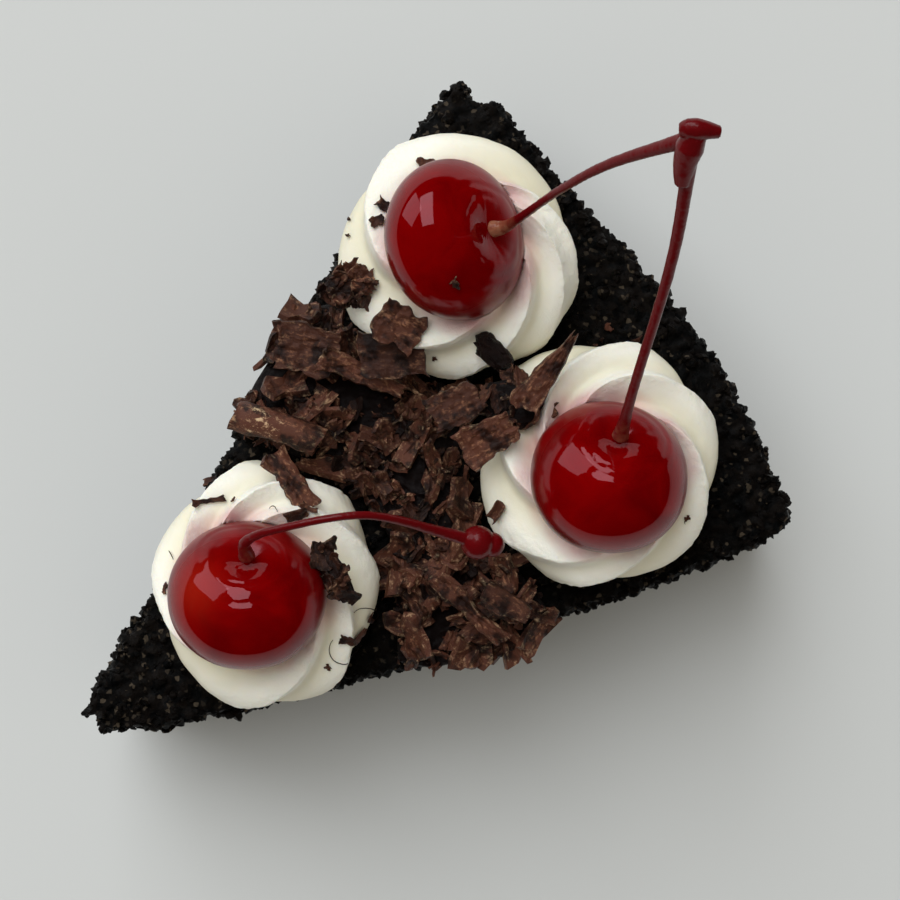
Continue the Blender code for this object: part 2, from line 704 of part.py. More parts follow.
def lay_down(piece, below):
    """Lower a piece straight down until it all but touches what lies below it."""
    drop = math.inf
    skin = solid_bvh(piece)
    for other in below:
        other_skin = solid_bvh(other)
        for corner in sample_points(piece):
            hit = other_skin.ray_cast(corner, Vector((0, 0, -1)))[0]
            if hit is not None:
                drop = min(drop, corner.z - hit.z)
        for corner in sample_points(other):
            hit = skin.ray_cast(corner, Vector((0, 0, 1)))[0]
            if hit is not None:
                drop = min(drop, hit.z - corner.z)
    for corner in piece.data.vertices:
        corner.co.z -= drop - REST_GAP


# ---- the slice ----------------------------------------------------------------------------


def build_shavings(finish, below):
    """Lay the chunks and the large shavings down, each on all that already lies there."""
    pieces = []
    for chunk in CHUNKS:
        pieces.append(build_chunk(chunk, finish))
        lay_down(pieces[-1], below + pieces[:-1])
    for shaving in SHAVINGS:
        pieces.append(build_shaving(shaving, finish))
        lay_down(pieces[-1], below + pieces[:-1])
    return pieces


def stand_on_origin():
    """Move the slice so that the middle of its box stands over the origin."""
    bpy.context.view_layer.update()
    graph = bpy.context.evaluated_depsgraph_get()
    corners = []
    for piece in bpy.data.objects:
        if not piece.hide_render:
            shown = piece.evaluated_get(graph)
            corners += [shown.matrix_world @ v.co for v in shown.data.vertices]
    low = Vector([min(c[axis] for c in corners) for axis in range(3)])
    high = Vector([max(c[axis] for c in corners) for axis in range(3)])
    shift = Vector(((low.x + high.x) / 2, (low.y + high.y) / 2, low.z))
    for piece in bpy.data.objects:
        piece.location -= shift


def main():
    """Build the whole slice."""
    clear_scene()
    sponge = material("sponge_crumb", SPONGE_COLOUR, 0.85)
    cream = material("whipped_cream", CREAM_COLOUR, 0.5)
    cherry_skin = material("glace_cherry", CHERRY_COLOUR, 0.12)
    stem = material("cherry_stem", STEM_COLOUR, 0.3)
    chocolate = material("dark_chocolate", CHOCOLATE_COLOUR, 0.6)
    below = [build_sponge(sponge)]
    for swirl, cherry in zip(SWIRLS, CHERRIES):
        fruit = build_cherry(cherry, cherry_skin)
        below += [fruit, build_swirl(swirl, fruit, cream)]
    below.append(build_heap(chocolate))
    build_shavings(chocolate, below)
    build_twin_stem(stem)
    build_single_stem(stem)
    stand_on_origin()


main()
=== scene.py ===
"""Black forest cake slice.

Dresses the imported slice: dark crumb sponge, three piped swirls of cream, cherries on their stems
and a heap of chocolate shavings. Metres, +Z up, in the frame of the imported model.
"""

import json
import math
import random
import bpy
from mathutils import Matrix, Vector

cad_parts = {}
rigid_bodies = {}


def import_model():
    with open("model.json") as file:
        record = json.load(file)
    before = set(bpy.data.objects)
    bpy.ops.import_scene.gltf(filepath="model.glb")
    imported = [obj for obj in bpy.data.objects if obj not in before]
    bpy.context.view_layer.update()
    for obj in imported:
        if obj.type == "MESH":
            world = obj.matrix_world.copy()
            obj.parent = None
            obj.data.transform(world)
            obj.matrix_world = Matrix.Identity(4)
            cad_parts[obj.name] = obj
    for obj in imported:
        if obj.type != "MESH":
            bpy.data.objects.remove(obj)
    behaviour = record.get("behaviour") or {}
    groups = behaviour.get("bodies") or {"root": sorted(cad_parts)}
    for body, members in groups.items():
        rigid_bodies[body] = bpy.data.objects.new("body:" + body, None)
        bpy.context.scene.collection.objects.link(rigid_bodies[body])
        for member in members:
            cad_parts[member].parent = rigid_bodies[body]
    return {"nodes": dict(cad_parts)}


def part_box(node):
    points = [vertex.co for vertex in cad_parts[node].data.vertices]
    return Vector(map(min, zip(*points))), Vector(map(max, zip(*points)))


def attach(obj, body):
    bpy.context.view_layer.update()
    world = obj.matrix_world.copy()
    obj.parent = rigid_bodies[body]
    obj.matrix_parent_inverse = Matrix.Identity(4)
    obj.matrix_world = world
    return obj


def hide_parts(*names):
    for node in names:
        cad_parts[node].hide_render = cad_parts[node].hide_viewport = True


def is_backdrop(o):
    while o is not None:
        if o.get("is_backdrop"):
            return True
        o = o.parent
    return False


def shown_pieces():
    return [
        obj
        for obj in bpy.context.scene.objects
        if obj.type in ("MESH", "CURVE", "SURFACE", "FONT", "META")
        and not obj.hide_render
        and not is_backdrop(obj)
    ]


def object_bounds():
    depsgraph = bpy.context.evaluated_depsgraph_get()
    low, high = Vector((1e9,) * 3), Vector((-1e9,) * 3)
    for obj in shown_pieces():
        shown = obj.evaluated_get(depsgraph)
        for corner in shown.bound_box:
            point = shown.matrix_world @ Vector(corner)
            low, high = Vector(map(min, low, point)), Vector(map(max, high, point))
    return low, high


bl_info = {
    "name": "Black Forest Cake Slice",
    "version": (1, 0, 0),
    "blender": (4, 5, 0),
    "location": "3D View > Sidebar > Cake Slice",
    "description": "Makes a slice of black forest cake with cream, cherries and shavings",
    "category": "Add Mesh",
}

from collections import namedtuple
from functools import partial

import bmesh
import bpy
import numpy as np
from bpy.props import FloatProperty, FloatVectorProperty, IntProperty, PointerProperty
from mathutils import Euler, Matrix, Vector, noise
from mathutils.bvhtree import BVHTree

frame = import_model()
CAD_LOW, CAD_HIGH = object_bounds()

MM = 0.001
BODY = "root"

# Places are given in millimetres from the point of the slice, x to its right, y to its rim.
SPONGE_LOW_CORNER = Vector((-39.269, -1.305, 0.0)) * MM
SLICE_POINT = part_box("sponge")[0] - SPONGE_LOW_CORNER
SPONGE_TOP = 40.0 * MM
GAP = 0.3 * MM
# Loose things are dropped from this height, in millimetres, on what lies below.
DROP_FROM = 90.0
DOWN = Vector((0.0, 0.0, -1.0))

# The loose crumbs: sizes in millimetres.
Crumbs = namedtuple("Crumbs", "name density smallest largest fineness seed")
CRUMBS = (
    Crumbs("coarse_crumbs", "coarse_density", 1.0, 2.6, 2, 3),
    Crumbs("fine_crumbs", "fine_density", 0.35, 1.1, 1, 4),
)

# The piped swirls.
SWIRL_HEIGHT = 13.6 * MM
SWIRL_WIDEST_AT = 3.6 * MM
SWIRL_FOOT_RISE = math.radians(-32)
SWIRL_EYE = 0.48
SWIRL_ROWS = 76
SWIRL_EYE_ROWS = 9
LINES_PER_LOBE = 48
LONG_BEARING = math.radians(142)
LIP_WIDTH = 26.0
LOBE_INSET = 0.35
TORN_LIP = 2.6
CREAM_FOOT = 40.3
Swirl = namedtuple("Swirl", "name cherry centre radius stretch lip_bearings")
SWIRLS = (
    Swirl("cream_point", "cherry_point", (0.3, 31.5), 15.7, 1.10, (54, 98, 150, 218, 301, 355)),
    Swirl("cream_left", "cherry_left", (-19.1, 79.9), 17.1, 1.00, (5, 33, 164, 262, 316)),
    Swirl("cream_right", "cherry_right", (15.0, 77.5), 16.9, 1.03, (8, 67, 117, 182, 261, 303)),
)

# The cherries.
CHERRY_HEIGHT = 55.0
DIMPLE_DEPTH = 1.5 * MM
DIMPLE_SPREAD = math.radians(17)
CHERRY_ROWS = 84
CHERRY_SIDES = 112
Cherry = namedtuple("Cherry", "name centre half_width half_height bearing lean glow")
CHERRIES = (
    Cherry("cherry_point", (0.0, 30.1), 10.4, 8.8, 137, 42, 0.6),
    Cherry("cherry_left", (-20.1, 79.8), 10.6, 7.8, 63, 46, 0.0),
    Cherry("cherry_right", (16.9, 76.7), 10.5, 9.2, 132, 40, 0.0),
)
# Painted glow: the side of a cherry that faces this way is painted a lighter red, as if lit
# through.
GLOW_TOWARDS = Vector((-0.50, -0.38, 0.76))
GLOW_SPREAD = 0.34

# The stems, from the dimple outwards.
STEM_RISE = 3.2 * MM
STEM_FOOT_RADIUS = 1.20 * MM
STEM_TIP_RADIUS = 1.00 * MM
STEM_FOOT_LENGTH = 5.5 * MM
STEM_MESH = 0.16 * MM
DRY_REACH = 7.0 * MM
LEFT_STEM_COURSE = ((-15.2, 92.2, 77.0), (-13.4, 97.6, 85.5), (-9.8, 104.2, 94.6))
RIGHT_STEM_COURSE = ((8.9, 85.6, 69.0), (-0.3, 96.5, 84.0), (-8.6, 104.1, 95.8))
POINT_STEM_COURSE = ((-4.1, 40.0, 66.4), (1.1, 49.3, 66.0), (9.0, 55.4, 58.6), (12.6, 57.9, 56.2))
SPUR_COURSE = ((-6.2, 101.2, 92.6), (-8.0, 102.9, 94.6), (-9.5, 105.0, 97.0))
SPUR_RADII = (0.85, 1.20, 1.45, 1.70, 1.35)
SPUR_CAP_COURSE = ((-11.0, 103.9, 97.2), (-9.8, 105.4, 97.6), (-8.0, 107.3, 97.0))
SPUR_CAP_RADII = (0.75, 1.20, 1.25, 1.05, 0.75)
KNOB_COURSE = ((12.9, 58.1, 56.0), (14.3, 59.4, 55.4))
KNOB_RADII = (2.30, 1.70)

# The heap: its core, and the shapes and sizes of its flakes.
CORE_MESH = 0.42 * MM
CORE_HEIGHT = 0.55
FLAKE_KINDS = 10
Flakes = namedtuple("Flakes", "name density smallest largest tilt lift narrow")
FLAKES = (
    Flakes("splinters", "dust_density", 0.5, 1.5, 1.2, 0.0, 0.5),
    Flakes("small_flakes", "small_density", 1.4, 3.4, 0.9, 0.3, 0.75),
    Flakes("large_flakes", "large_density", 3.0, 7.0, 0.6, 0.8, 0.85),
)

# The large shavings: thin plates rolled across their width by curl and bowed along by bend.
Shaving = namedtuple(
    "Shaving", "name length width thickness curl bend taper bearing tip roll shade",
    defaults=(0, 0, 0, 1.0),
)
SHAVINGS = [Shaving("shaving_" + name, *row) for name, *row in (
    ("log", 12.2, 9.6, 0.9, 290, 4, 0.0, 34, -3, 95, 0.95),
    ("flake", 8.4, 6.8, 0.9, 35, 20, 0.1, 40, 4, 6, 0.6),
    ("sliver", 12.4, 3.4, 0.8, 70, 45, 0.5, 28, 0, 10, 1.0),
    ("plate", 9.2, 6.4, 0.9, 22, 10, 0.1, 52, 8, 8, 0.4),
    ("chip", 6.6, 5.6, 0.8, 40, 25, 0.1, 26, -4, 12, 0.85),
    ("stick", 9.4, 4.0, 1.0, 110, 6, 0.1, -4, 2, 0, 1.0),
    ("splint", 12.6, 3.0, 1.0, 110, 8, 0.2, 7, -5, 0, 0.9),
    ("curl", 6.8, 8.0, 0.8, 270, 6, 0.1, 19, -6, 80, 0.65),
    ("oval", 7.0, 5.0, 0.8, 30, 20, 0.2, 75, 6, 0, 0.6),
    ("spike", 12.0, 4.4, 1.1, 50, 14, 0.85, 107, 12, 0, 0.85),
    ("pale", 7.4, 5.2, 0.8, 50, 25, 0.3, 80, 8, 12, 1.0),
)]
SHAVING_TEAR = 1.1
ROWS_PER_MM = 3.4
SHARP_ANGLE = math.radians(16)
SCRAPED_SHAVING = "shaving_log"
SCRAPE_MIDDLE = 0.34
SCRAPE_REACH = 0.24
SCRAPE_DEPTH = 1.1 * MM
# The lumps: a dark core, and the torn plates that stick to it.
CHUNK_TEAR = 0.9
Chunk = namedtuple("Chunk", "name half_sizes bearing plates core_shade plate_shades")
CHUNKS = [
    Chunk("shaving_chunk", (5.0, 4.0, 1.9), 52, 13, 0.0, (0.2, 1.0)),
    Chunk("shaving_nub", (2.9, 1.7, 1.6), 7, 0, 0.04, (0.0, 0.0)),
    Chunk("shaving_crumple", (3.7, 2.6, 1.7), 69, 22, 0.3, (0.3, 1.0)),
    Chunk("shaving_leaf", (5.0, 1.9, 1.3), -11, 13, 0.1, (0.15, 0.55)),
]
# Bits that fell on the cream and the crumb beside it: place, size, bearing in degrees, curl.
BIT_TEAR = 0.5
BIT_THICKNESS = 0.3
Bit = namedtuple("Bit", "x y length width bearing curl")
BITS = [Bit(*row) for row in (
    (-30.6, 83.7, 2.6, 1.8, 60, 20), (-29.7, 75.7, 2.0, 1.7, 20, 30),
    (-28.5, 73.6, 1.9, 1.5, 80, 40), (-9.8, 68.7, 0.8, 0.7, 0, 0),
    (-31.6, 71.2, 0.5, 0.3, 30, 0), (-29.9, 69.8, 0.7, 0.3, 45, 0),
    (-15.1, 76.3, 1.4, 1.0, 10, 10), (-15.7, 34.1, 3.0, 1.3, 66, 30),
    (-13.3, 33.1, 4.6, 1.0, 62, 60), (-11.1, 35.9, 0.9, 0.6, 20, 0),
    (-4.9, 41.7, 3.2, 2.4, 75, 40), (-4.0, 43.0, 2.4, 1.6, 20, 50),
    (-7.5, 21.4, 1.4, 0.7, 130, 0), (12.4, 39.9, 1.6, 1.2, 10, 30),
    (13.2, 37.4, 2.6, 1.4, 100, 30), (12.6, 36.4, 2.2, 1.3, 30, 40),
    (14.0, 32.0, 0.6, 0.4, 10, 0), (2.1, 88.6, 0.5, 0.4, 0, 0),
    (2.4, 87.0, 0.4, 0.3, 0, 0), (27.8, 82.1, 0.7, 0.5, 80, 0),
    (1.4, 90.5, 1.2, 1.0, 10, 20), (5.2, 91.9, 2.8, 2.0, 70, 30),
    (11.8, 62.9, 3.2, 2.6, 100, 200), (9.0, 45.6, 3.4, 2.2, 25, 60),
    (11.4, 44.0, 2.8, 1.8, 70, 40),
)]
# Curled threads of chocolate, each an arc: its centre, its radius and its degrees.
HAIR_RADIUS = 0.07 * MM
HAIR_STEPS = 20
HAIR_SIDES = 6
Hair = namedtuple("Hair", "at radius start sweep")
HAIRS = (
    Hair((12.0, 39.4), 1.7, 20, 170),
    Hair((13.4, 35.2), 1.9, 190, 190),
    Hair((-6.4, 38.8), 0.9, 80, 90),
    Hair((-10.8, 23.1), 1.6, 60, 50),
)


def linear(code):
    """A colour given as sRGB hex, as the linear values that shaders use."""
    parts = [int(code[i:i + 2], 16) / 255 for i in (1, 3, 5)]
    return [c / 12.92 if c <= 0.04045 else ((c + 0.055) / 1.055) ** 2.4 for c in parts]


def spot(x, y, z=0.0):
    """A place in the frame, from millimetres in the slice."""
    return SLICE_POINT + Vector((x, y, z)) * MM


def per(width):
    """How many things of a width in millimetres fit into a metre."""
    return 1 / (width * MM)


def hex_colour(name, code, description):
    """A colour that the user can change."""
    return FloatVectorProperty(
        name=name, description=description, subtype="COLOR", size=3, min=0.0, max=1.0,
        default=linear(code),
    )


def millimetres(name, description, size, least=0.0):
    """A length in millimetres that the user can change."""
    return FloatProperty(
        name=name, description=description, unit="LENGTH", default=size * MM, min=least * MM,
        precision=5,
    )


def amount(name, description, default, least=0.0):
    """A number above a least one, that the user can change."""
    return FloatProperty(name=name, description=description, default=default, min=least)


# ---- settings -----------------------------------------------------------------------------


class SpongeSettings(bpy.types.PropertyGroup):
    """The dark crumb."""

    mesh_size: millimetres("Mesh Size", "Size of the sponge's mesh", 0.52, 0.3)
    crumb_size: millimetres("Crumb Size", "Width of the lumps of crumb", 2.4, 0.5)
    relief: millimetres("Relief", "How deep the gaps between the crumbs are", 0.95)
    coarse_density: amount("Coarse Crumbs", "Loose lumps on each square metre", 110500.0)
    fine_density: amount("Fine Crumbs", "Loose fine crumbs on each square metre", 420000.0)
    # Painted shade: the dark colour is painted into the gaps between the crumbs, the light one on
    # the high places.
    dark: hex_colour("Dark", "#020202", "Moist crumb in the gaps")
    light: hex_colour("Light", "#0e0906", "Drier crumb on the high places")
    # Painted glint: the colour painted on the pale grains.
    speck: hex_colour("Speck", "#4a4034", "Dry grains here and there")


class CreamSettings(bpy.types.PropertyGroup):
    """The piped cream."""

    ridge_height: millimetres("Ridge Height", "How deep the grooves between the ridges are", 3.8)
    notch: millimetres("Notch Depth", "How deep the outline dips where lobes overlap", 2.0)
    lean: FloatProperty(
        name="Lean", description="Turn of the lobes for each radian of rise", default=0.3
    )
    turn: FloatProperty(
        name="Turn", description="Turn of the lobes as the swirl narrows", default=2.2
    )
    softness: millimetres("Unevenness", "Depth of the soft waves in the cream", 0.22)
    colour: hex_colour("Cream", "#f5f2e6", "Whipped cream")
    # Painted shade for the grooves and the low sides.
    shade: hex_colour("Shade", "#d0c69e", "Cream in the grooves and low on the sides")
    stain: hex_colour("Stain", "#c9737c", "Cherry juice in the cream")


class CherrySettings(bpy.types.PropertyGroup):
    """The cherries."""

    wrinkle: millimetres("Wrinkle Depth", "Depth of the folds round the dimple", 0.12)
    unevenness: millimetres("Unevenness", "How far the skin is out of round", 0.28)
    colour: hex_colour("Skin", "#780102", "Syrup-soaked skin")
    deep: hex_colour("Deep", "#5c0002", "Thick, dark places")
    # Painted glow, painted on the window side of the point cherry.
    glow: hex_colour("Glow", "#b8301a", "Where window light comes through the flesh")


class StemSettings(bpy.types.PropertyGroup):
    """The stems."""

    sides: IntProperty(name="Sides", description="Faces round a stem", default=20, min=6)
    scar: millimetres("Scar Depth", "Depth of the scars and ribs", 0.03)
    colour: hex_colour("Stem", "#5a0408", "Red stem")
    foot: hex_colour("Foot", "#84503a", "Paler, woody foot")


class ChocolateSettings(bpy.types.PropertyGroup):
    """The shavings."""

    large_density: amount("Large Flakes", "Flakes on each square metre", 140000.0)
    small_density: amount("Small Flakes", "Flakes on each square metre", 330000.0)
    dust_density: amount("Splinters", "Splinters on each square metre", 420000.0)
    dark: hex_colour("Dark", "#0e0605", "Chocolate in the shade of the heap")
    colour: hex_colour("Chocolate", "#5a3426", "Dark chocolate, cut")
    torn: hex_colour("Torn", "#a87556", "Torn faces")
    scraped: hex_colour("Scraped", "#d8bd96", "Chocolate scraped bare and pale")
    seed: IntProperty(name="Seed", description="Another heap of the same kind", default=11)


class StageSettings(bpy.types.PropertyGroup):
    """Floor, light and camera."""

    floor: hex_colour("Floor", "#cbccca", "Pale floor")
    window_power: amount("Window", "Power of the window light in watts", 3.05)
    sky_strength: amount("Room", "Strength of the light from all round", 0.36)
    lens: amount("Lens", "Focal length in millimetres", 78.0, 10.0)


# ---- nodes --------------------------------------------------------------------------------


def add_node(tree, kind, *values, **named):
    """Add a node, set it up, and feed its inputs from values or from other nodes.

    The kind is the node's own without its first word, and an operation may follow it. The
    values fill the inputs in their order. A name with a capital letter is an input, with an
    underscore for each space, and any other name is a setting.
    """
    kind, _, operation = kind.partition(" ")
    families = ("ShaderNode", "GeometryNode", "FunctionNode", "")
    made = tree.nodes.new(next(f + kind for f in families if hasattr(bpy.types, f + kind)))
    if operation:
        made.operation = operation
    for name in [name for name in named if name[0].islower()]:
        setattr(made, name, named.pop(name))
    sockets = [socket for socket in made.inputs if socket.enabled]
    by_name = {socket.name.replace(" ", "_"): socket for socket in sockets}
    fed = [*zip(sockets, values), *((by_name[name], named[name]) for name in named)]
    for socket, value in fed:
        if isinstance(value, bpy.types.Node):
            value = next(output for output in value.outputs if output.enabled)
        if isinstance(value, bpy.types.NodeSocket):
            tree.links.new(value, socket)
        elif socket.type == "RGBA" and len(value) == 3:
            socket.default_value = (*value, 1.0)
        else:
            socket.default_value = value
    return made


def new_tree(name, **sizes):
    """A geometry tree, the adder of its nodes, and its inputs: a geometry and the sizes named."""
    tree = bpy.data.node_groups.new(name, "GeometryNodeTree")
    tree.interface.new_socket("Geometry", in_out="INPUT", socket_type="NodeSocketGeometry")
    for kind, labels in sizes.items():
        for label in labels:
            tree.interface.new_socket(label, in_out="INPUT", socket_type="NodeSocket" + kind)
    tree.interface.new_socket("Geometry", in_out="OUTPUT", socket_type="NodeSocketGeometry")
    add = partial(add_node, tree)
    return tree, add, add("NodeGroupInput").outputs


def close_tree(tree, geometry, material):
    """End a tree in plain geometry with its material."""
    plain = add_node(tree, "RealizeInstances", geometry)
    add_node(tree, "NodeGroupOutput", add_node(tree, "SetMaterial", plain, Material=material))
    return tree


def push_out(add, geometry, distance):
    """Move each point of a geometry out along its normal."""
    offset = add("VectorMath SCALE", add("InputNormal"), distance)
    return add("SetPosition", geometry, Offset=offset)


def shake(add, place, scale, detail, reach):
    """An uneven shift at each place, from smooth noise of the scale and reach given."""
    colour = add("TexNoise", place, Scale=scale, Detail=detail).outputs["Color"]
    centred = add("VectorMath SUBTRACT", colour, (0.5, 0.5, 0.5))
    return add("VectorMath SCALE", centred, reach)


def strew(add, given, least_up, density, power):
    """Points strewn over the faces that look up enough, and a size for each: few are large."""
    up = add("SeparateXYZ", add("InputNormal")).outputs["Z"]
    points = add(
        "DistributePointsOnFaces", given["Geometry"], add("Compare", up, least_up),
        Density=density, Seed=given["Seed"],
    )
    draw = add("Math POWER", add("RandomValue", 0.0, 1.0, Seed=given["Seed"]), power)
    return points, add("MapRange", draw, To_Min=given["Smallest"], To_Max=given["Largest"])


def grow(owner, tree, **values):
    """Run a tree on a piece or a curve, and keep its result as the piece's plain mesh."""
    modifier = owner.modifiers.new(tree.name, "NODES")
    modifier.node_group = tree
    for item in tree.interface.items_tree:
        label = item.name.replace(" ", "_")
        if item.in_out == "INPUT" and label in values:
            modifier[item.identifier] = values[label]
    return settle(owner)


def settle(owner):
    """Keep what the modifiers of a piece or a curve make of it as a plain mesh."""
    bpy.context.view_layer.update()
    graph = bpy.context.evaluated_depsgraph_get()
    mesh = bpy.data.meshes.new_from_object(
        owner.evaluated_get(graph), preserve_all_data_layers=True, depsgraph=graph
    )
    name = owner.name
    if owner.type == "CURVE":
        bpy.data.objects.remove(owner)
        return link(name, mesh)
    owner.modifiers.clear()
    owner.data = mesh
    mesh.name = name
    return owner


def even_out(piece, size):
    """Give a piece an even mesh of small squares of the size given."""
    remesh = piece.modifiers.new("even", "REMESH")
    remesh.mode = "VOXEL"
    remesh.voxel_size = size


def link(name, mesh):
    """Show a mesh as a named piece."""
    piece = bpy.data.objects.new(name, mesh)
    bpy.context.scene.collection.objects.link(piece)
    return piece


def note(mesh, name, values):
    """Store a number or a vector for each point of a mesh."""
    vectors = np.ndim(values[0]) > 0
    layer = mesh.attributes.new(name, "FLOAT_VECTOR" if vectors else "FLOAT", "POINT")
    layer.data.foreach_set("vector" if vectors else "value", np.ravel(values))


def hand_over(piece, slot, *nodes):
    """Let a finished piece ride on the slice and stand for its CAD nodes."""
    if len(piece.data.polygons) == 0:
        raise RuntimeError(piece.name + " has no faces")
    keep_in_box(piece)
    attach(piece, BODY)
    if nodes:
        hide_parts(*nodes)


def keep_in_box(piece):
    """Hold back the few points that would stand out of the slice's own box."""
    mesh = piece.data
    places = np.empty(len(mesh.vertices) * 3, np.float32)
    mesh.vertices.foreach_get("co", places)
    places = places.reshape(-1, 3).clip(np.array(CAD_LOW), np.array(CAD_HIGH))
    mesh.vertices.foreach_set("co", places.ravel())
    mesh.update()


def skin_rings(shell, rings):
    """Skin a row of rings of points, each to the next."""
    for low, high in zip(rings, rings[1:]):
        for i in range(len(low)):
            j = (i + 1) % len(low)
            shell.faces.new((low[i], low[j], high[j], high[i]))


def shell_to_mesh(name, shell, smooth=True):
    """Turn a closed bmesh into a mesh with its faces pointing out."""
    bmesh.ops.recalc_face_normals(shell, faces=shell.faces)
    mesh = bpy.data.meshes.new(name)
    shell.to_mesh(mesh)
    shell.free()
    if smooth:
        mesh.shade_smooth()
    return mesh


def copy_of_node(name):
    """A merged copy of a CAD node's mesh."""
    shell = bmesh.new()
    shell.from_mesh(frame["nodes"][name].data)
    bmesh.ops.remove_doubles(shell, verts=shell.verts, dist=0.001 * MM)
    return shell_to_mesh(name + "_form", shell, smooth=False)


def skin_of(*pieces):
    """The faces of some pieces for ray casts."""
    corners = []
    faces = []
    for piece in pieces:
        start = len(corners)
        corners += [v.co.copy() for v in piece.data.vertices]
        faces += [[start + i for i in p.vertices] for p in piece.data.polygons]
    return BVHTree.FromPolygons(corners, faces)


def smoothstep(t):
    """Ease from 0 to 1."""
    t = min(1.0, max(0.0, t))
    return t * t * (3.0 - 2.0 * t)


def uneven(place, size, seed=0.0):
    """Smooth unevenness from -1 to 1 at a place, of the size given."""
    return noise.noise(place / size + Vector((seed, 2.0 * seed, 3.0 * seed)))


# ---- materials ----------------------------------------------------------------------------


def new_material(name):
    """An empty material, the adder of its nodes, and the object's own coordinates."""
    made = bpy.data.materials.new(name)
    made.use_nodes = True
    made.node_tree.nodes.clear()
    add = partial(add_node, made.node_tree)
    return made, add, add("TexCoord").outputs["Object"]


def torn_sponge_crumb(settings):
    """Chocolate sponge soaked with syrup: torn open crumb.

    Torn crumb scatters light from countless pits, so it is dark. The gaps are painted nearly
    black and the high places dark brown, which is painted shade. A few grains are painted pale
    as painted glints, and the syrup gives a few crumbs a damp glint.
    """
    made, add, place = new_material("torn_sponge_crumb")
    crumbs = add("TexVoronoi", place, Scale=per(1.2))
    tone = add("SeparateColor", crumbs.outputs["Color"])
    patches = add("TexNoise", place, Scale=per(9.0), Detail=3.0)
    # Painted shade: the crumb's relief height darkens the low gaps and lightens the high places.
    height = add("Attribute", attribute_name="height").outputs["Fac"]
    both = add("Math MULTIPLY", tone, patches)
    lifted = add("Math MULTIPLY", both, height)
    blend = add("MapRange", lifted, 0.03, 0.42)
    crumb = add("Mix", blend, settings.dark, settings.light, data_type="RGBA")
    # Painted glints: about one grain in twenty is painted pale.
    grains = add("TexVoronoi", place, Scale=per(0.55))
    rare = add("SeparateColor", grains.outputs["Color"])
    dry = add("MapRange", rare, 0.93, 0.99, To_Max=0.8)
    colour = add("Mix", dry, crumb, settings.speck, data_type="RGBA")
    damp = add("TexNoise", place, Scale=per(1.7), Detail=2.0)
    roughness = add("MapRange", damp, 0.35, 0.62, 0.34, 0.85)
    # Pores of about half a millimetre are the finest that show.
    pores = add("TexNoise", place, Scale=per(0.45), Detail=4.0, Roughness=0.7)
    bump = add("Bump", Height=pores, Distance=0.28 * MM, Strength=0.9)
    shader = add(
        "BsdfPrincipled", Base_Color=colour, Roughness=roughness, IOR=1.40,
        Specular_IOR_Level=0.22, Normal=bump,
    )
    add("OutputMaterial", Surface=shader)
    return made


def piped_whipped_cream(settings):
    """Whipped cream, piped cold through a star nozzle.

    The fat and the tiny bubbles let light in and scatter it, so edges glow. The grooves and
    the low sides are painted a warm pale yellow, which is painted shade. Where the nozzle tore
    it, and on the thin ridges, it is a little rough, and the cherry's juice stains it pink.
    """
    made, add, place = new_material("piped_whipped_cream")
    crest = add("Attribute", attribute_name="crest").outputs["Fac"]
    stain = add("Attribute", attribute_name="stain").outputs["Fac"]
    patches = add("TexNoise", place, Scale=per(5.0), Detail=3.0)
    # Painted shade: where the crest mask is low, in the grooves and low on the sides, the shade
    # colour is painted in.
    crest_part = add("MapRange", crest, 0.0, 0.6, 0.35, 0.95)
    base = add("Mix", crest_part, settings.shade, settings.colour, data_type="RGBA")
    spread = add("Math MULTIPLY", stain, patches)
    wet = add("MapRange", spread, 0.12, 0.75, 0.0, 0.75)
    colour = add("Mix", wet, base, settings.stain, data_type="RGBA")
    grain = add("TexNoise", place, Scale=per(0.8), Detail=5.0, Roughness=0.7)
    rough_edge = add("MapRange", crest, 0.3, 1.0, 0.2, 0.9)
    bump = add("Bump", Height=grain, Distance=0.30 * MM, Strength=rough_edge)
    shader = add(
        "BsdfPrincipled", Base_Color=colour, Roughness=0.46, IOR=1.40, Subsurface_Weight=0.30,
        Subsurface_Radius=(1.0, 0.75, 0.5), Subsurface_Scale=0.9 * MM, Normal=bump,
    )
    add("OutputMaterial", Surface=shader)
    return made


def syrup_cherry_skin(settings):
    """Cocktail cherry: bleached, dyed and soaked in syrup.

    The skin is a glassy film of syrup over flesh like stained glass, so it mirrors the window
    and is deep red below, darker where the flesh is thick. The dye in the film reddens what it
    mirrors. It is sharp on top and duller down the sides, where it has run off into the cream.
    """
    made, add, place = new_material("syrup_cherry_skin")
    veins = add("TexNoise", place, Scale=per(6.0), Detail=3.0, Distortion=0.8)
    thick = add("MapRange", veins, 0.3, 0.75)
    flesh = add("Mix", thick, settings.colour, settings.deep, data_type="RGBA")
    # Painted glow: the glow mask, on the window side, is painted in the glow colour.
    glow = add("Attribute", attribute_name="glow").outputs["Fac"]
    lit = add("Math MULTIPLY", glow, veins)
    colour = add("Mix", lit, flesh, settings.glow, data_type="RGBA")
    film = add("TexNoise", place, Scale=per(1.6), Detail=2.0, Roughness=0.5)
    bump = add("Bump", Height=film, Distance=0.03 * MM, Strength=0.2)
    top = add("Attribute", attribute_name="film").outputs["Fac"]
    roughness = add("MapRange", top, To_Min=0.30, To_Max=0.04)
    shader = add(
        "BsdfPrincipled", Base_Color=colour, Roughness=roughness, IOR=1.52,
        Specular_Tint=(1.0, 0.52, 0.58), Subsurface_Weight=0.15,
        Subsurface_Radius=(1.0, 0.08, 0.05), Subsurface_Scale=1.6 * MM, Normal=bump,
    )
    add("OutputMaterial", Surface=shader)
    return made


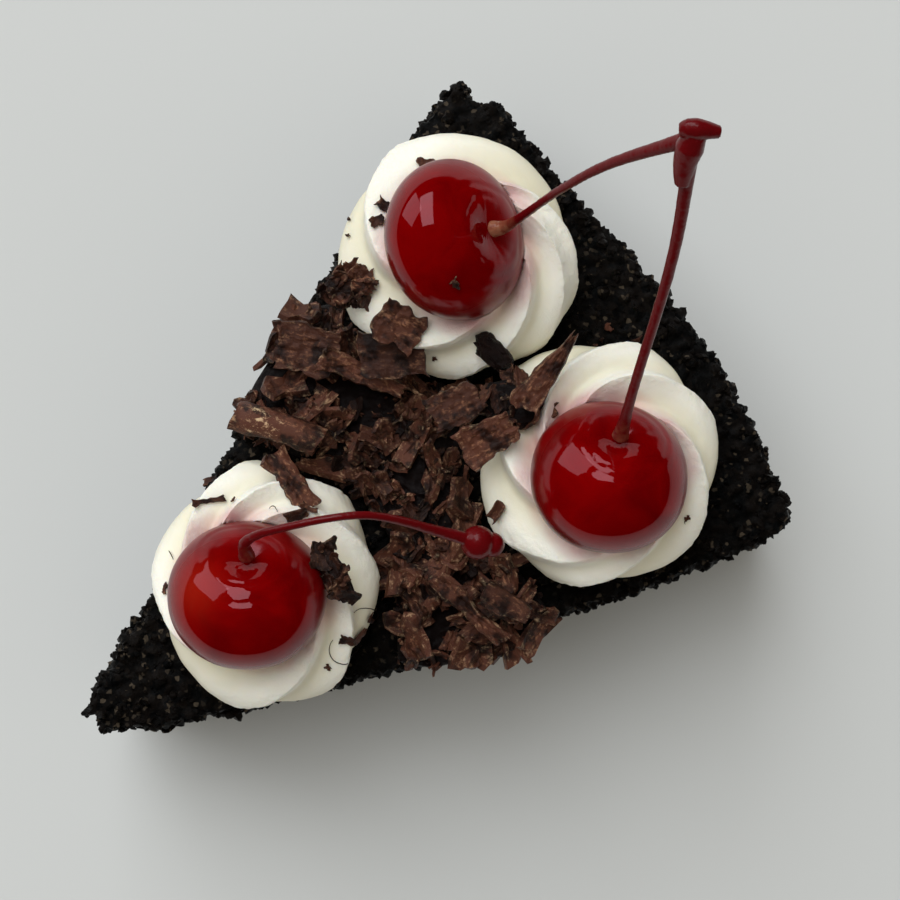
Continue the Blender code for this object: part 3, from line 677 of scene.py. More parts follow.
def red_stem_bark(settings):
    """Cherry stem steeped in red syrup.

    Smooth bark with a wet film: dark red and shiny along its length, browner, dull and
    fibrous at the foot where it tore from the flesh.
    """
    made, add, place = new_material("red_stem_bark")
    foot = add("Attribute", attribute_name="foot").outputs["Fac"]
    fibres = add("TexNoise", place, Scale=per(0.8), Detail=4.0)
    patch = add("Math MULTIPLY", foot, fibres)
    pale = add("MapRange", patch, 0.10, 0.45)
    colour = add("Mix", pale, settings.colour, settings.foot, data_type="RGBA")
    bump = add("Bump", Height=fibres, Distance=0.12 * MM, Strength=0.5)
    shader = add(
        "BsdfPrincipled", Base_Color=colour, Roughness=0.30, IOR=1.40, Specular_IOR_Level=0.2,
        Subsurface_Weight=0.1, Subsurface_Radius=(1.0, 0.2, 0.15), Subsurface_Scale=0.8 * MM,
        Coat_Weight=0.25, Coat_Roughness=0.08, Normal=bump,
    )
    add("OutputMaterial", Surface=shader)
    return made


def shaved_dark_chocolate(settings):
    """Dark chocolate, shaved off a cold block with a knife.

    A cut face is satin brown, and a torn face is dull and lighter with fine ribs along the cut.
    The core deep in the heap is painted nearly black, which is painted shade, and the rims are
    painted paler, partly as torn edges and partly as a painted highlight.
    """
    made, add, place = new_material("shaved_dark_chocolate")
    grain = add("Attribute", attribute_name="grain").outputs["Vector"]
    shade = add("Attribute", attribute_name="shade").outputs["Fac"]
    # Ribs of the cut: 0.7 mm apart across the shaving, and three times as long along it.
    along = add("Mapping", Vector=grain, Scale=(0.33, 1.0, 1.0))
    ribs = add("TexNoise", along, Scale=per(0.7), Detail=6.0, Roughness=0.75)
    tears = add(
        "TexNoise", place, Scale=per(1.0), Detail=7.0, Roughness=0.75, Distortion=1.2
    )
    torn = add("Math MULTIPLY", ribs, tears)
    pale = add("MapRange", torn, 0.27, 0.39)
    # Some parts of a face are smeared dark, over 3 mm or so.
    smears = add("TexNoise", place, Scale=per(2.6), Detail=4.0, Roughness=0.6)
    clear = add("MapRange", smears, 0.40, 0.54, 0.15)
    lit = add("Math MULTIPLY", shade, clear)
    cut = add("Mix", lit, settings.dark, settings.colour, data_type="RGBA")
    torn_lit = add("Math MULTIPLY", pale, lit)
    brown = add("Mix", torn_lit, cut, settings.torn, data_type="RGBA")
    # A shade above 1 marks where the knife scraped the surface bare and pale. The rims are painted
    # paler, partly as torn edges and partly as a painted highlight.
    bare = add("MapRange", shade, 1.0, 2.0)
    pale_rim = add("Attribute", attribute_name="rim").outputs["Fac"]
    for share in (pale, shade, 0.45):
        pale_rim = add("Math MULTIPLY", pale_rim, share)
    torn_bare = add("Math MULTIPLY", bare, pale)
    patch = add("Math MAXIMUM", torn_bare, pale_rim)
    colour = add("Mix", patch, brown, settings.scraped, data_type="RGBA")
    roughness = add("MapRange", pale, To_Min=0.42, To_Max=0.75)
    bump = add("Bump", Height=torn, Distance=0.45 * MM, Strength=0.9)
    shader = add(
        "BsdfPrincipled", Base_Color=colour, Roughness=roughness, IOR=1.45,
        Specular_IOR_Level=0.35, Normal=bump,
    )
    add("OutputMaterial", Surface=shader)
    return made


def finish(maker, settings):
    """The material that a function makes, made once."""
    return bpy.data.materials.get(maker.__name__) or maker(settings)


# ---- sponge -------------------------------------------------------------------------------


def crumb_relief_tree(material):
    """Turns a smooth block into torn crumb: rounded lumps with gaps between them."""
    tree, add, given = new_tree("crumb_relief", Float=("Crumb Size", "Relief"))
    place = add("InputPosition")
    coarse_scale = add("Math DIVIDE", 1.0, given["Crumb Size"])
    fine_scale = add("Math MULTIPLY", coarse_scale, 2.6)
    bent = add("VectorMath ADD", place, shake(add, place, coarse_scale, 3.0, 2.2 * MM))
    coarse, fine = (
        add("MapRange", add("TexVoronoi", bent, Scale=scale, feature="DISTANCE_TO_EDGE"),
            From_Max=0.34, interpolation_type=ease)
        for scale, ease in ((coarse_scale, "SMOOTHERSTEP"), (fine_scale, "SMOOTHSTEP"))
    )
    rough = add("TexNoise", bent, Scale=fine_scale, Detail=3.0)
    fine_part = add("Math MULTIPLY_ADD", fine, 0.45, rough)
    height = add("Math MULTIPLY_ADD", coarse, 0.8, fine_part)
    level = add("Math SUBTRACT", height, 1.45)
    push = add("Math MULTIPLY", level, given["Relief"])
    low = add("SeparateXYZ", place).outputs["Z"]
    above_floor = add("MapRange", low, 0.2 * MM, 1.2 * MM)
    # The relief height is kept for the material, which paints shade into the low gaps.
    kept = add("StoreNamedAttribute", given["Geometry"], Name="height", Value=height)
    moved = push_out(add, kept, add("Math MULTIPLY", push, above_floor))
    return close_tree(tree, moved, material)


def crumb_scatter_tree(material):
    """Strews uneven crumbs, half sunk, over every face that doesn't look down."""
    tree, add, given = new_tree(
        "crumb_scatter", Float=("Density", "Smallest", "Largest"), Int=("Fineness", "Seed")
    )
    points, size = strew(add, given, -0.6, given["Density"], 2.2)
    shape, turn = (
        add("RandomValue", least, most, Seed=given["Seed"], data_type="FLOAT_VECTOR")
        for least, most in (
            ((0.30, 0.34, 0.26), (0.52, 0.50, 0.46)), ((0.0, 0.0, 0.0), (6.28, 6.28, 6.28)),
        )
    )
    scale = add("VectorMath SCALE", shape, size)
    grain = add("MeshIcoSphere", Radius=1.0, Subdivisions=given["Fineness"])
    strewn = add("InstanceOnPoints", Points=points, Instance=grain, Rotation=turn, Scale=scale)
    sized = add("StoreNamedAttribute", strewn, Name="crumb", Value=size, domain="INSTANCE")
    plain = add("RealizeInstances", sized)
    own = add("InputNamedAttribute", "crumb")
    offset = shake(add, add("InputPosition"), per(0.9), 2.0, own)
    jagged = add("SetPosition", plain, Offset=offset)
    # Loose crumbs count as high places, so the material paints no shade on them.
    raised = add("StoreNamedAttribute", jagged, Name="height", Value=1.6)
    return close_tree(tree, raised, material)


class CAKE_OT_sponge(bpy.types.Operator):
    """Make the wedge of dark crumb"""

    bl_idname = "cake.sponge"
    bl_label = "Sponge"

    def execute(self, context):
        settings = context.scene.cake_sponge
        material = finish(torn_sponge_crumb, settings)
        piece = link("sponge_wedge", copy_of_node("sponge"))
        even_out(piece, settings.mesh_size)
        soften = piece.modifiers.new("soften", "SMOOTH")
        soften.factor = 0.5
        soften.iterations = 5
        settle(piece)
        tree = crumb_relief_tree(material)
        grow(piece, tree, Crumb_Size=settings.crumb_size, Relief=settings.relief)
        piece.data.shade_smooth()
        hand_over(piece, "sponge_crumb", "sponge")
        return {"FINISHED"}


class CAKE_OT_crumbs(bpy.types.Operator):
    """Strew loose crumbs over the sponge"""

    bl_idname = "cake.crumbs"
    bl_label = "Crumbs"

    def execute(self, context):
        settings = context.scene.cake_sponge
        material = finish(torn_sponge_crumb, settings)
        tree = crumb_scatter_tree(material)
        for crumbs in CRUMBS:
            if crumbs.name == "fine_crumbs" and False:
                continue
            piece = link(crumbs.name, bpy.data.objects["sponge_wedge"].data.copy())
            grow(
                piece, tree, Density=getattr(settings, crumbs.density),
                Smallest=crumbs.smallest * MM, Largest=crumbs.largest * MM,
                Fineness=crumbs.fineness, Seed=crumbs.seed,
            )
            hand_over(piece, "sponge_crumb")
        return {"FINISHED"}


# ---- cherries -----------------------------------------------------------------------------


def cherry_axis(cherry):
    """The direction from a cherry's centre to the foot of its stem."""
    lean = math.radians(cherry.lean)
    bearing = math.radians(cherry.bearing)
    flat = math.sin(lean)
    return Vector((flat * math.cos(bearing), flat * math.sin(bearing), math.cos(lean)))


def cherry_profile(cherry, angle):
    """Radius and height of a cherry's skin at an angle from its stem end."""
    dimple = DIMPLE_DEPTH * math.exp(-((angle / DIMPLE_SPREAD) ** 2))
    shoulder = 1.0 + 0.05 * math.cos(angle)
    radius = cherry.half_width * MM * math.sin(angle) * shoulder
    return radius, cherry.half_height * MM * math.cos(angle) - dimple


def skin_fold(cherry, angle, turn, depth):
    """The folds that ring the dimple for part of the way round, and the dents beyond."""
    seed = cherry.bearing * 0.37
    way = Vector((math.cos(turn), math.sin(turn), 0.0))
    fold = 0.0
    for ring, (at, width, share) in enumerate(((0.42, 0.035, 1.0), (0.62, 0.045, 0.7))):
        path = at + 0.10 * uneven(way, 0.8, seed + ring)
        present = max(0.0, min(1.0, 0.5 + 2.2 * uneven(way, 1.1, seed + 5 + ring)))
        across = (angle - path) / width
        fold += share * present * (0.55 * math.exp(-((across - 1.6) ** 2)) - math.exp(-across**2))
    pucker = 0.35 * uneven(Vector((4.0 * way.x, 4.0 * way.y, angle * 3.0)), 1.0, seed)
    pucker *= math.exp(-(((angle - 0.45) / 0.28) ** 2))
    return depth * (fold + pucker)


def make_cherry(cherry, settings):
    """A cherry with its dimple, folds and small dents."""
    shell = bmesh.new()
    rings = []
    seed = cherry.lean * 0.61
    for row in range(1, CHERRY_ROWS):
        angle = math.pi * (row / CHERRY_ROWS) ** 1.12
        radius, height = cherry_profile(cherry, angle)
        ring = []
        for i in range(CHERRY_SIDES):
            turn = math.tau * i / CHERRY_SIDES
            place = Vector((radius * math.cos(turn), radius * math.sin(turn), height))
            out = place.normalized()
            dent = settings.unevenness * (uneven(out, 0.9, seed) - 0.35)
            fold = skin_fold(cherry, angle, turn, settings.wrinkle)
            ring.append(shell.verts.new(place + out * (dent + fold)))
        rings.append(ring)
    skin_rings(shell, rings)
    for ring, angle in ((rings[0], 0.0), (rings[-1], math.pi)):
        tip = shell.verts.new((0.0, 0.0, cherry_profile(cherry, angle)[1]))
        for i in range(CHERRY_SIDES):
            shell.faces.new((ring[i], ring[(i + 1) % CHERRY_SIDES], tip))
    turn = Vector((0, 0, 1)).rotation_difference(cherry_axis(cherry)).to_matrix().to_4x4()
    centre = spot(*cherry.centre, CHERRY_HEIGHT)
    bmesh.ops.transform(shell, matrix=Matrix.Translation(centre) @ turn, verts=shell.verts)
    glow = shell.verts.layers.float.new("glow")
    film = shell.verts.layers.float.new("film")
    for corner in shell.verts:
        out = corner.co - centre
        corner[glow] = cherry.glow * math.exp(-((out.angle(GLOW_TOWARDS) / GLOW_SPREAD) ** 2))
        corner[film] = smoothstep((out.normalized().z - 0.30) / 0.45)
    return link(cherry.name + "_fruit", shell_to_mesh(cherry.name, shell))


class CAKE_OT_cherries(bpy.types.Operator):
    """Make the three cherries"""

    bl_idname = "cake.cherries"
    bl_label = "Cherries"

    def execute(self, context):
        settings = context.scene.cake_cherry
        material = finish(syrup_cherry_skin, settings)
        for cherry in CHERRIES:
            piece = make_cherry(cherry, settings)
            piece.data.materials.append(material)
            hand_over(piece, "glace_cherry", cherry.name)
        return {"FINISHED"}


# ---- cream --------------------------------------------------------------------------------


def swirl_point(rise, bearing, across, past, share):
    """What a point of a swirl knows: its place on the bare ring, and its part in each form.

    The ring is round in section, and beyond its top the rows run in to the eye of the swirl.
    Each lobe drops under the lip of the one before it, then climbs in a scoop to its own lip.
    """
    climb = min(rise, math.pi / 2)
    side = math.cos(climb)
    lift = math.sin(climb)
    up = max(lift, 0.0)
    eye = SWIRL_EYE * (1.0 - max(rise - math.pi / 2, 0.0))
    flat = side * (1.0 - SWIRL_EYE) + eye
    room_below = SWIRL_WIDEST_AT / -math.sin(SWIRL_FOOT_RISE)
    dome = SWIRL_WIDEST_AT + min(lift, 0.0) * room_below + up * (SWIRL_HEIGHT - SWIRL_WIDEST_AT)
    drop = smoothstep(past / LIP_WIDTH)
    groove = drop * (1.0 - across**2) * share
    return {
        "ring": (flat, 0.0, dome),
        "scoop": (-LOBE_INSET * side * groove, 0.0, -up * groove),
        "dip": (-drop * (1.0 - across) ** 3 * share * side, 0.0, 0.0),
        "bearing": bearing,
        "rise": rise,
        "narrowed": (1.0 - flat) if lift > 0.0 else 0.0,
        # The crest mask is low in the grooves and low on the sides, where the material paints
        # shade.
        "crest": (1.0 - groove) * (0.25 + 0.75 * min(1.0, up / 0.55)),
        "torn_lip": TORN_LIP * (1.0 - groove) ** 4,
    }


def swirl_grid(swirl):
    """The net of a swirl, whose points know what swirl_point says of them."""
    bearings = sorted(swirl.lip_bearings)
    lines = []
    for i, start in enumerate(bearings):
        width = (bearings[(i + 1) % len(bearings)] - start) % 360
        for step in range(LINES_PER_LOBE):
            t = (step / LINES_PER_LOBE) ** 1.5
            lines.append((math.radians(start + width * t), t, width * t, min(1.0, width / 50)))
    rises = list(np.linspace(SWIRL_FOOT_RISE, math.pi / 2, SWIRL_ROWS))
    rises += [math.pi / 2 + (i + 1) / (SWIRL_EYE_ROWS + 1) for i in range(SWIRL_EYE_ROWS)]
    points = [swirl_point(rise, *line) for rise in rises for line in lines]
    points.append(swirl_point(math.pi / 2 + 1.0, 0.0, 0.0, 0.0, 1.0))
    count = len(lines)
    faces = [list(range(count))[::-1]]
    for row in range(len(rises) - 1):
        for i in range(count):
            j = (i + 1) % count
            low = row * count
            faces.append((low + i, low + j, low + count + j, low + count + i))
    top = (len(rises) - 1) * count
    faces += [(top + i, top + (i + 1) % count, len(points) - 1) for i in range(count)]
    mesh = bpy.data.meshes.new(swirl.name)
    mesh.from_pydata([(0.0, 0.0, 0.0)] * len(points), [], faces)
    for name in points[0]:
        note(mesh, name, [point[name] for point in points])
    return mesh


def swirl_tree(material):
    """The rule of a piped swirl: a ring of cream whose lobes wind outwards over one another."""
    tree, add, given = new_tree(
        "piped_swirl", Vector=("Centre",), Object=("Cherry",),
        Float=("Radius", "Stretch", "Ridge Height", "Notch", "Lean", "Turn", "Unevenness"),
    )
    ring, scoop, dip = (
        add("InputNamedAttribute", name, data_type="FLOAT_VECTOR")
        for name in ("ring", "scoop", "dip")
    )
    bearing, rise, narrowed, torn_lip = (
        add("InputNamedAttribute", name)
        for name in ("bearing", "rise", "narrowed", "torn_lip")
    )

    # Radius and height of each point, as if all of them lay on one bearing.
    size = add("CombineXYZ", given["Radius"], 0.0, 1.0)
    plan = add("VectorMath MULTIPLY", ring, size)
    for form, depth in ((scoop, given["Ridge Height"]), (dip, given["Notch"])):
        part = add("VectorMath SCALE", form, depth)
        plan = add("VectorMath ADD", plan, part)

    # Then each is turned to its own bearing, and the lobes wind as they rise and narrow.
    turned = bearing
    for part, share in ((rise, given["Lean"]), (narrowed, given["Turn"])):
        turned = add("Math MULTIPLY_ADD", part, share, turned)
    plan = add("VectorRotate", Vector=plan, Angle=turned, rotation_type="Z_AXIS")
    long_way = (math.cos(LONG_BEARING), math.sin(LONG_BEARING), 0.0)
    reach_out = add("VectorMath DOT_PRODUCT", plan, long_way)
    growth = add("Math SUBTRACT", given["Stretch"], 1.0)
    extra = add("Math MULTIPLY", reach_out, growth)
    longer = add("VectorMath SCALE", long_way, extra)
    plan = add("VectorMath ADD", plan, longer)
    placed = add("VectorMath ADD", plan, given["Centre"])
    piped = add("SetPosition", given["Geometry"], Position=placed)
    soft = add("BlurAttribute", Value=add("InputPosition"), Iterations=8, data_type="FLOAT_VECTOR")
    piped = add("SetPosition", piped, Position=soft)

    # Soft waves all over, and small tears along the lips.
    place = add("InputPosition")
    waves = add("TexNoise", place, Scale=per(5.5), Detail=2.0)
    tears = add("TexNoise", place, Scale=per(0.9), Detail=3.0)
    swell = add("Math MULTIPLY_ADD", waves, 3.0, -1.65)
    tear = add("Math SUBTRACT", tears, 0.6)
    wave = add("Math MULTIPLY_ADD", tear, torn_lip, swell)
    waved = push_out(add, piped, add("Math MULTIPLY", wave, given["Unevenness"]))

    # The seat: cream under the cherry lies just below its skin.
    fruit = add(
        "GeometryNodeObjectInfo", Object=given["Cherry"], transform_space="ORIGINAL"
    ).outputs["Geometry"]
    x, y, z = add("SeparateXYZ", place).outputs
    under = add("CombineXYZ", x, y, SPONGE_TOP)
    ray = add(
        "Raycast", Target_Geometry=fruit, Source_Position=under, Ray_Direction=(0.0, 0.0, 1.0),
        Ray_Length=0.1,
    ).outputs
    hit_height = add("SeparateXYZ", ray["Hit Position"]).outputs["Z"]
    below = add("Math SUBTRACT", hit_height, 0.12 * MM)
    seat = add("CombineXYZ", x, y, add("Math MINIMUM", z, below))
    seated = add("SetPosition", waved, Selection=ray["Is Hit"], Position=seat)
    near = add("Proximity", Geometry=fruit, target_element="FACES").outputs["Distance"]
    stain = add("MapRange", near, 0.2 * MM, 4.2 * MM, 1.0, 0.0, interpolation_type="SMOOTHSTEP")
    stained = add("StoreNamedAttribute", seated, Name="stain", Value=stain)
    return close_tree(tree, stained, material)


class CAKE_OT_cream(bpy.types.Operator):
    """Pipe the three swirls of cream"""

    bl_idname = "cake.cream"
    bl_label = "Cream"

    def execute(self, context):
        settings = context.scene.cake_cream
        tree = swirl_tree(finish(piped_whipped_cream, settings))
        for swirl in SWIRLS:
            piece = link(swirl.name + "_swirl", swirl_grid(swirl))
            grow(
                piece, tree, Radius=swirl.radius * MM, Stretch=swirl.stretch,
                Ridge_Height=settings.ridge_height, Notch=settings.notch, Lean=settings.lean,
                Turn=settings.turn, Unevenness=settings.softness,
                Centre=spot(*swirl.centre, CREAM_FOOT),
                Cherry=bpy.data.objects[swirl.cherry + "_fruit"],
            )
            piece.data.shade_smooth()
            hand_over(piece, "whipped_cream", swirl.name)
        return {"FINISHED"}


# ---- stems --------------------------------------------------------------------------------


def smooth_course(places, steps):
    """Points along a smooth curve through the places given."""
    padded = [2 * places[0] - places[1], *places, 2 * places[-1] - places[-2]]
    course = []
    for a, b, c, d in zip(padded, padded[1:], padded[2:], padded[3:]):
        for step in range(steps):
            t = step / steps
            course.append(
                0.5 * (2 * b + (c - a) * t + (2 * a - 5 * b + 4 * c - d) * t**2
                       + (3 * b - a - 3 * c + d) * t**3)
            )
    course.append(places[-1])
    return course


def spread_radii(radii, count):
    """Radii along a course, eased between the few given."""
    at = [i * (len(radii) - 1) / (count - 1) for i in range(count)]
    return [float(np.interp(a, range(len(radii)), radii)) * MM for a in at]


def stem_line(cherry, course, thin):
    """Places and radii of a stem, from its cherry's dimple."""
    axis = cherry_axis(cherry)
    foot_height = cherry_profile(cherry, 0.0)[1] + GAP + 0.5 * STEM_FOOT_RADIUS
    foot = spot(*cherry.centre, CHERRY_HEIGHT) + axis * foot_height
    line = smooth_course([foot, foot + axis * STEM_RISE, *(spot(*p) for p in course)], 16)
    total = sum((b - a).length for a, b in zip(line, line[1:]))
    radii = []
    walked = 0.0
    for i, place in enumerate(line):
        walked += (place - line[i - 1]).length if i else 0.0
        foot_flare = (STEM_FOOT_RADIUS - thin) * math.exp(-walked / STEM_FOOT_LENGTH * 2)
        tip_flare = (STEM_TIP_RADIUS - thin) * (walked / total) ** 4
        radii.append(thin + foot_flare + tip_flare)
    return line, radii


def stem_curve(name, lines):
    """One curve object with a spline for each line, whose points carry their radius."""
    curve = bpy.data.curves.new(name, "CURVE")
    curve.dimensions = "3D"
    for line, radii in lines:
        spline = curve.splines.new("POLY")
        spline.points.add(len(line) - 1)
        for point, place, radius in zip(spline.points, line, radii):
            point.co = (*place, 1.0)
            point.radius = radius
    return link(name, curve)


def stem_tree(material):
    """Skins a curve with a round bar as thick as its points say, welds the bars and scars them."""
    tree, add, given = new_tree("stem_skin", Int=("Sides",), Float=("Scar Depth", "Mesh Size"))
    profile = add("CurvePrimitiveCircle", Resolution=given["Sides"], Radius=1.0, mode="RADIUS")
    skin = add(
        "CurveToMesh", given["Geometry"], profile, Scale=add("InputRadius"), Fill_Caps=True
    )
    volume = add(
        "MeshToVolume", Mesh=skin, Voxel_Size=given["Mesh Size"],
        Interior_Band_Width=0.4 * MM, resolution_mode="VOXEL_SIZE",
    )
    welded = add(
        "VolumeToMesh", Volume=volume, Voxel_Size=given["Mesh Size"], Threshold=0.1,
        resolution_mode="VOXEL_SIZE",
    )
    scars = add("TexNoise", add("InputPosition"), Scale=per(1.4), Detail=3.0)
    scar = add("Math SUBTRACT", scars, 0.6)
    for deeper in (given["Scar Depth"], 4.0):
        scar = add("Math MULTIPLY", scar, deeper)
    return close_tree(tree, push_out(add, welded, scar), material)


def mark_feet(piece, feet, reach):
    """Mark the pale, dry end of each line: full at its end and fading out over the reach."""
    ends = [(line[0], share) for line, share in feet]
    note(piece.data, "foot", [
        max(share * max(0.0, 1.0 - (corner.co - end).length / reach) for end, share in ends)
        for corner in piece.data.vertices
    ])


class CAKE_OT_stems(bpy.types.Operator):
    """Grow the stems out of their cherries"""

    bl_idname = "cake.stems"
    bl_label = "Stems"

    def execute(self, context):
        settings = context.scene.cake_stem
        tree = stem_tree(finish(red_stem_bark, settings))
        point, left, right = CHERRIES
        left_line = stem_line(left, LEFT_STEM_COURSE, thin=0.55 * MM)
        right_line = stem_line(right, RIGHT_STEM_COURSE, thin=0.68 * MM)
        point_line = stem_line(point, POINT_STEM_COURSE, thin=0.53 * MM)
        spur = smooth_course([spot(*p) for p in SPUR_COURSE], 8)
        cap = smooth_course([spot(*p) for p in SPUR_CAP_COURSE], 8)
        knobs = [ball_line(spot(*at), r * MM) for at, r in zip(KNOB_COURSE, KNOB_RADII)]
        stems = {
            "twin_stem": [
                left_line, right_line,
                (spur, spread_radii(SPUR_RADII, len(spur))),
                (cap, spread_radii(SPUR_CAP_RADII, len(cap))),
            ],
            "single_stem": [point_line, *knobs],
        }
        feet = {
            "twin_stem": [(left_line[0], 1.0), (right_line[0], 0.45), (spur, 0.2)],
            "single_stem": [(point_line[0], 0.35)],
        }
        for name, lines in stems.items():
            piece = grow(
                stem_curve(name + "_bark", lines), tree,
                Sides=settings.sides, Scar_Depth=settings.scar, Mesh_Size=STEM_MESH,
            )
            mark_feet(piece, feet[name], DRY_REACH)
            piece.data.shade_smooth()
            hand_over(piece, "cherry_stem", name)
        return {"FINISHED"}


def ball_line(centre, radius):
    """A short line whose radii make a ball."""
    steps = 12
    line = []
    radii = []
    for i in range(steps + 1):
        angle = math.pi * i / steps
        line.append(centre + Vector((0.0, 0.0, -radius * math.cos(angle))))
        radii.append(max(0.02 * MM, radius * math.sin(angle)))
    return line, radii


# ---- shavings -----------------------------------------------------------------------------


def plate_point(shaving, u, v, lift):
    """A point of a curled plate: u runs along it, v across it, and lift through it."""
    length = shaving.length * MM
    width = shaving.width * MM * (1.0 - shaving.taper * u)
    curl = math.radians(max(shaving.curl, 1.0))
    bend = math.radians(max(shaving.bend, 1.0))
    roll_radius = shaving.width * MM / curl
    angle = curl * (v - 0.5) * width / (shaving.width * MM)
    across = (roll_radius - lift) * math.sin(angle)
    up = roll_radius - (roll_radius - lift) * math.cos(angle)
    bow_radius = length / bend
    along = (bow_radius - up) * math.sin(bend * (u - 0.5))
    up = bow_radius - (bow_radius - up) * math.cos(bend * (u - 0.5))
    return Vector((along, across, up))


def ragged(t, seed, coarse, fine):
    """How far a torn edge is out of line at t along it: straight breaks that meet in corners."""
    out = 0.0
    for breaks, share in ((coarse, 0.5), (fine, 0.25)):
        first = math.floor(t * breaks)
        here, there = (noise.cell(Vector((first + i + 0.5, seed, breaks))) for i in (0, 1))
        out += share * (here + (there - here) * (t * breaks - first))
    return out


def plate_shell(shaving, rows, columns, tear, seed):
    """A closed plate with torn edges, ribbed and of uneven thickness."""

    def corner(side, row, column):
        s = row / rows
        w = column / columns
        near, far = (tear / shaving.length * ragged(w, seed + i, 3.0, 9.0) for i in (1, 2))
        left, right = (tear / shaving.width * ragged(s, seed + i, 4.0, 12.0) for i in (3, 4))
        u = s + (1 - s) * near + s * far
        v = w + (1 - w) * left + w * right
        flat = Vector((u * shaving.length, v * shaving.width, seed)) * MM
        inwards = min(s, 1 - s, w, 1 - w)
        body = 0.55 + 0.45 * min(1.0, 5.0 * inwards) + 0.25 * uneven(flat, 1.6 * MM, seed)
        rib = 0.10 * noise.noise(Vector((u * 1.5, v * shaving.width * 1.6, seed)))
        chip = 0.30 * uneven(flat, 0.8 * MM, seed + side)
        lift = side * shaving.thickness * body + rib + chip * (0.5 + side)
        grain = flat + Vector((0.0, 0.0, side * MM))
        return plate_point(shaving, u, v, lift * MM), grain, max(0.0, 1.0 - 9.0 * inwards)

    return close_plate(rows, columns, corner)


def close_plate(rows, columns, corner):
    """A closed plate, from what a function says of each corner: its place, grain and rim."""
    shell = bmesh.new()
    grain = shell.verts.layers.float_vector.new("grain")
    rim = shell.verts.layers.float.new("rim")
    sides = []
    for side in (-0.5, 0.5):
        sides.append([])
        for row in range(rows + 1):
            line = []
            for column in range(columns + 1):
                place, own_grain, own_rim = corner(side, row, column)
                line.append(shell.verts.new(place))
                line[-1][grain] = own_grain
                line[-1][rim] = own_rim
            sides[-1].append(line)
    for grid in sides:
        for near, far in zip(grid, grid[1:]):
            for i in range(columns):
                shell.faces.new((near[i], far[i], far[i + 1], near[i + 1]))
    skin_rings(shell, [rim_of(grid) for grid in sides])
    return shell


def rim_of(grid):
    """The points round the edge of a grid, in order."""
    first = grid[0][:-1]
    last = grid[-1][:0:-1]
    far = [row[-1] for row in grid[:-1]]
    near = [row[0] for row in grid[:0:-1]]
    return first + far + last + near


def scrape(mesh, length):
    """Mark a pale, scraped patch on top of the first half of a shaving."""
    shade = mesh.attributes["shade"].data
    grain = mesh.attributes["grain"].data
    top = max(corner.co.z for corner in mesh.vertices)
    for corner, tone, place in zip(mesh.vertices, shade, grain):
        along = (place.vector.x / length - SCRAPE_MIDDLE) / SCRAPE_REACH
        down = (top - corner.co.z) / SCRAPE_DEPTH
        patch = max(0.0, 1.0 - along**2) * max(0.0, 1.0 - down**2)
        tone.value += 2.5 * patch * (2.0 - tone.value)
        tone.value = min(2.0, tone.value)


def lay_on_node(shell, name, turn):
    """Turn a shell and lay its box on the middle of the box of its CAD node."""
    bmesh.ops.transform(shell, matrix=turn.to_4x4(), verts=shell.verts)
    low = Vector([min(v.co[axis] for v in shell.verts) for axis in range(3)])
    high = Vector([max(v.co[axis] for v in shell.verts) for axis in range(3)])
    box_low, box_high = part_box(name)
    bmesh.ops.translate(shell, vec=(box_low + box_high - low - high) / 2, verts=shell.verts)


def make_large_shaving(shaving, seed):
    """One large shaving in the place of its CAD node."""
    rows = max(20, round(shaving.length * ROWS_PER_MM))
    columns = max(14, round(shaving.width * ROWS_PER_MM))
    shell = plate_shell(shaving, rows, columns, SHAVING_TEAR, seed)
    turn = Matrix.Rotation(math.radians(shaving.bearing), 3, "Z")
    turn @= Matrix.Rotation(math.radians(-shaving.tip), 3, "Y")
    turn @= Matrix.Rotation(math.radians(shaving.roll), 3, "X")
    lay_on_node(shell, shaving.name, turn)
    return shell


def add_shell(shell, part, turn, place, tone):
    """Add a turned part to a shell, all of it in one shade of chocolate."""
    grain = shell.verts.layers.float_vector["grain"]
    shade = shell.verts.layers.float["shade"]
    rim = shell.verts.layers.float["rim"]
    own_grain = part.verts.layers.float_vector["grain"]
    own_rim = part.verts.layers.float.get("rim")
    copies = {}
    for corner in part.verts:
        made = shell.verts.new(place + turn @ corner.co)
        made[grain] = corner[own_grain]
        made[rim] = corner[own_rim] if own_rim else 0.0
        made[shade] = tone
        copies[corner] = made
    for face in part.faces:
        shell.faces.new([copies[corner] for corner in face.verts])
    part.free()


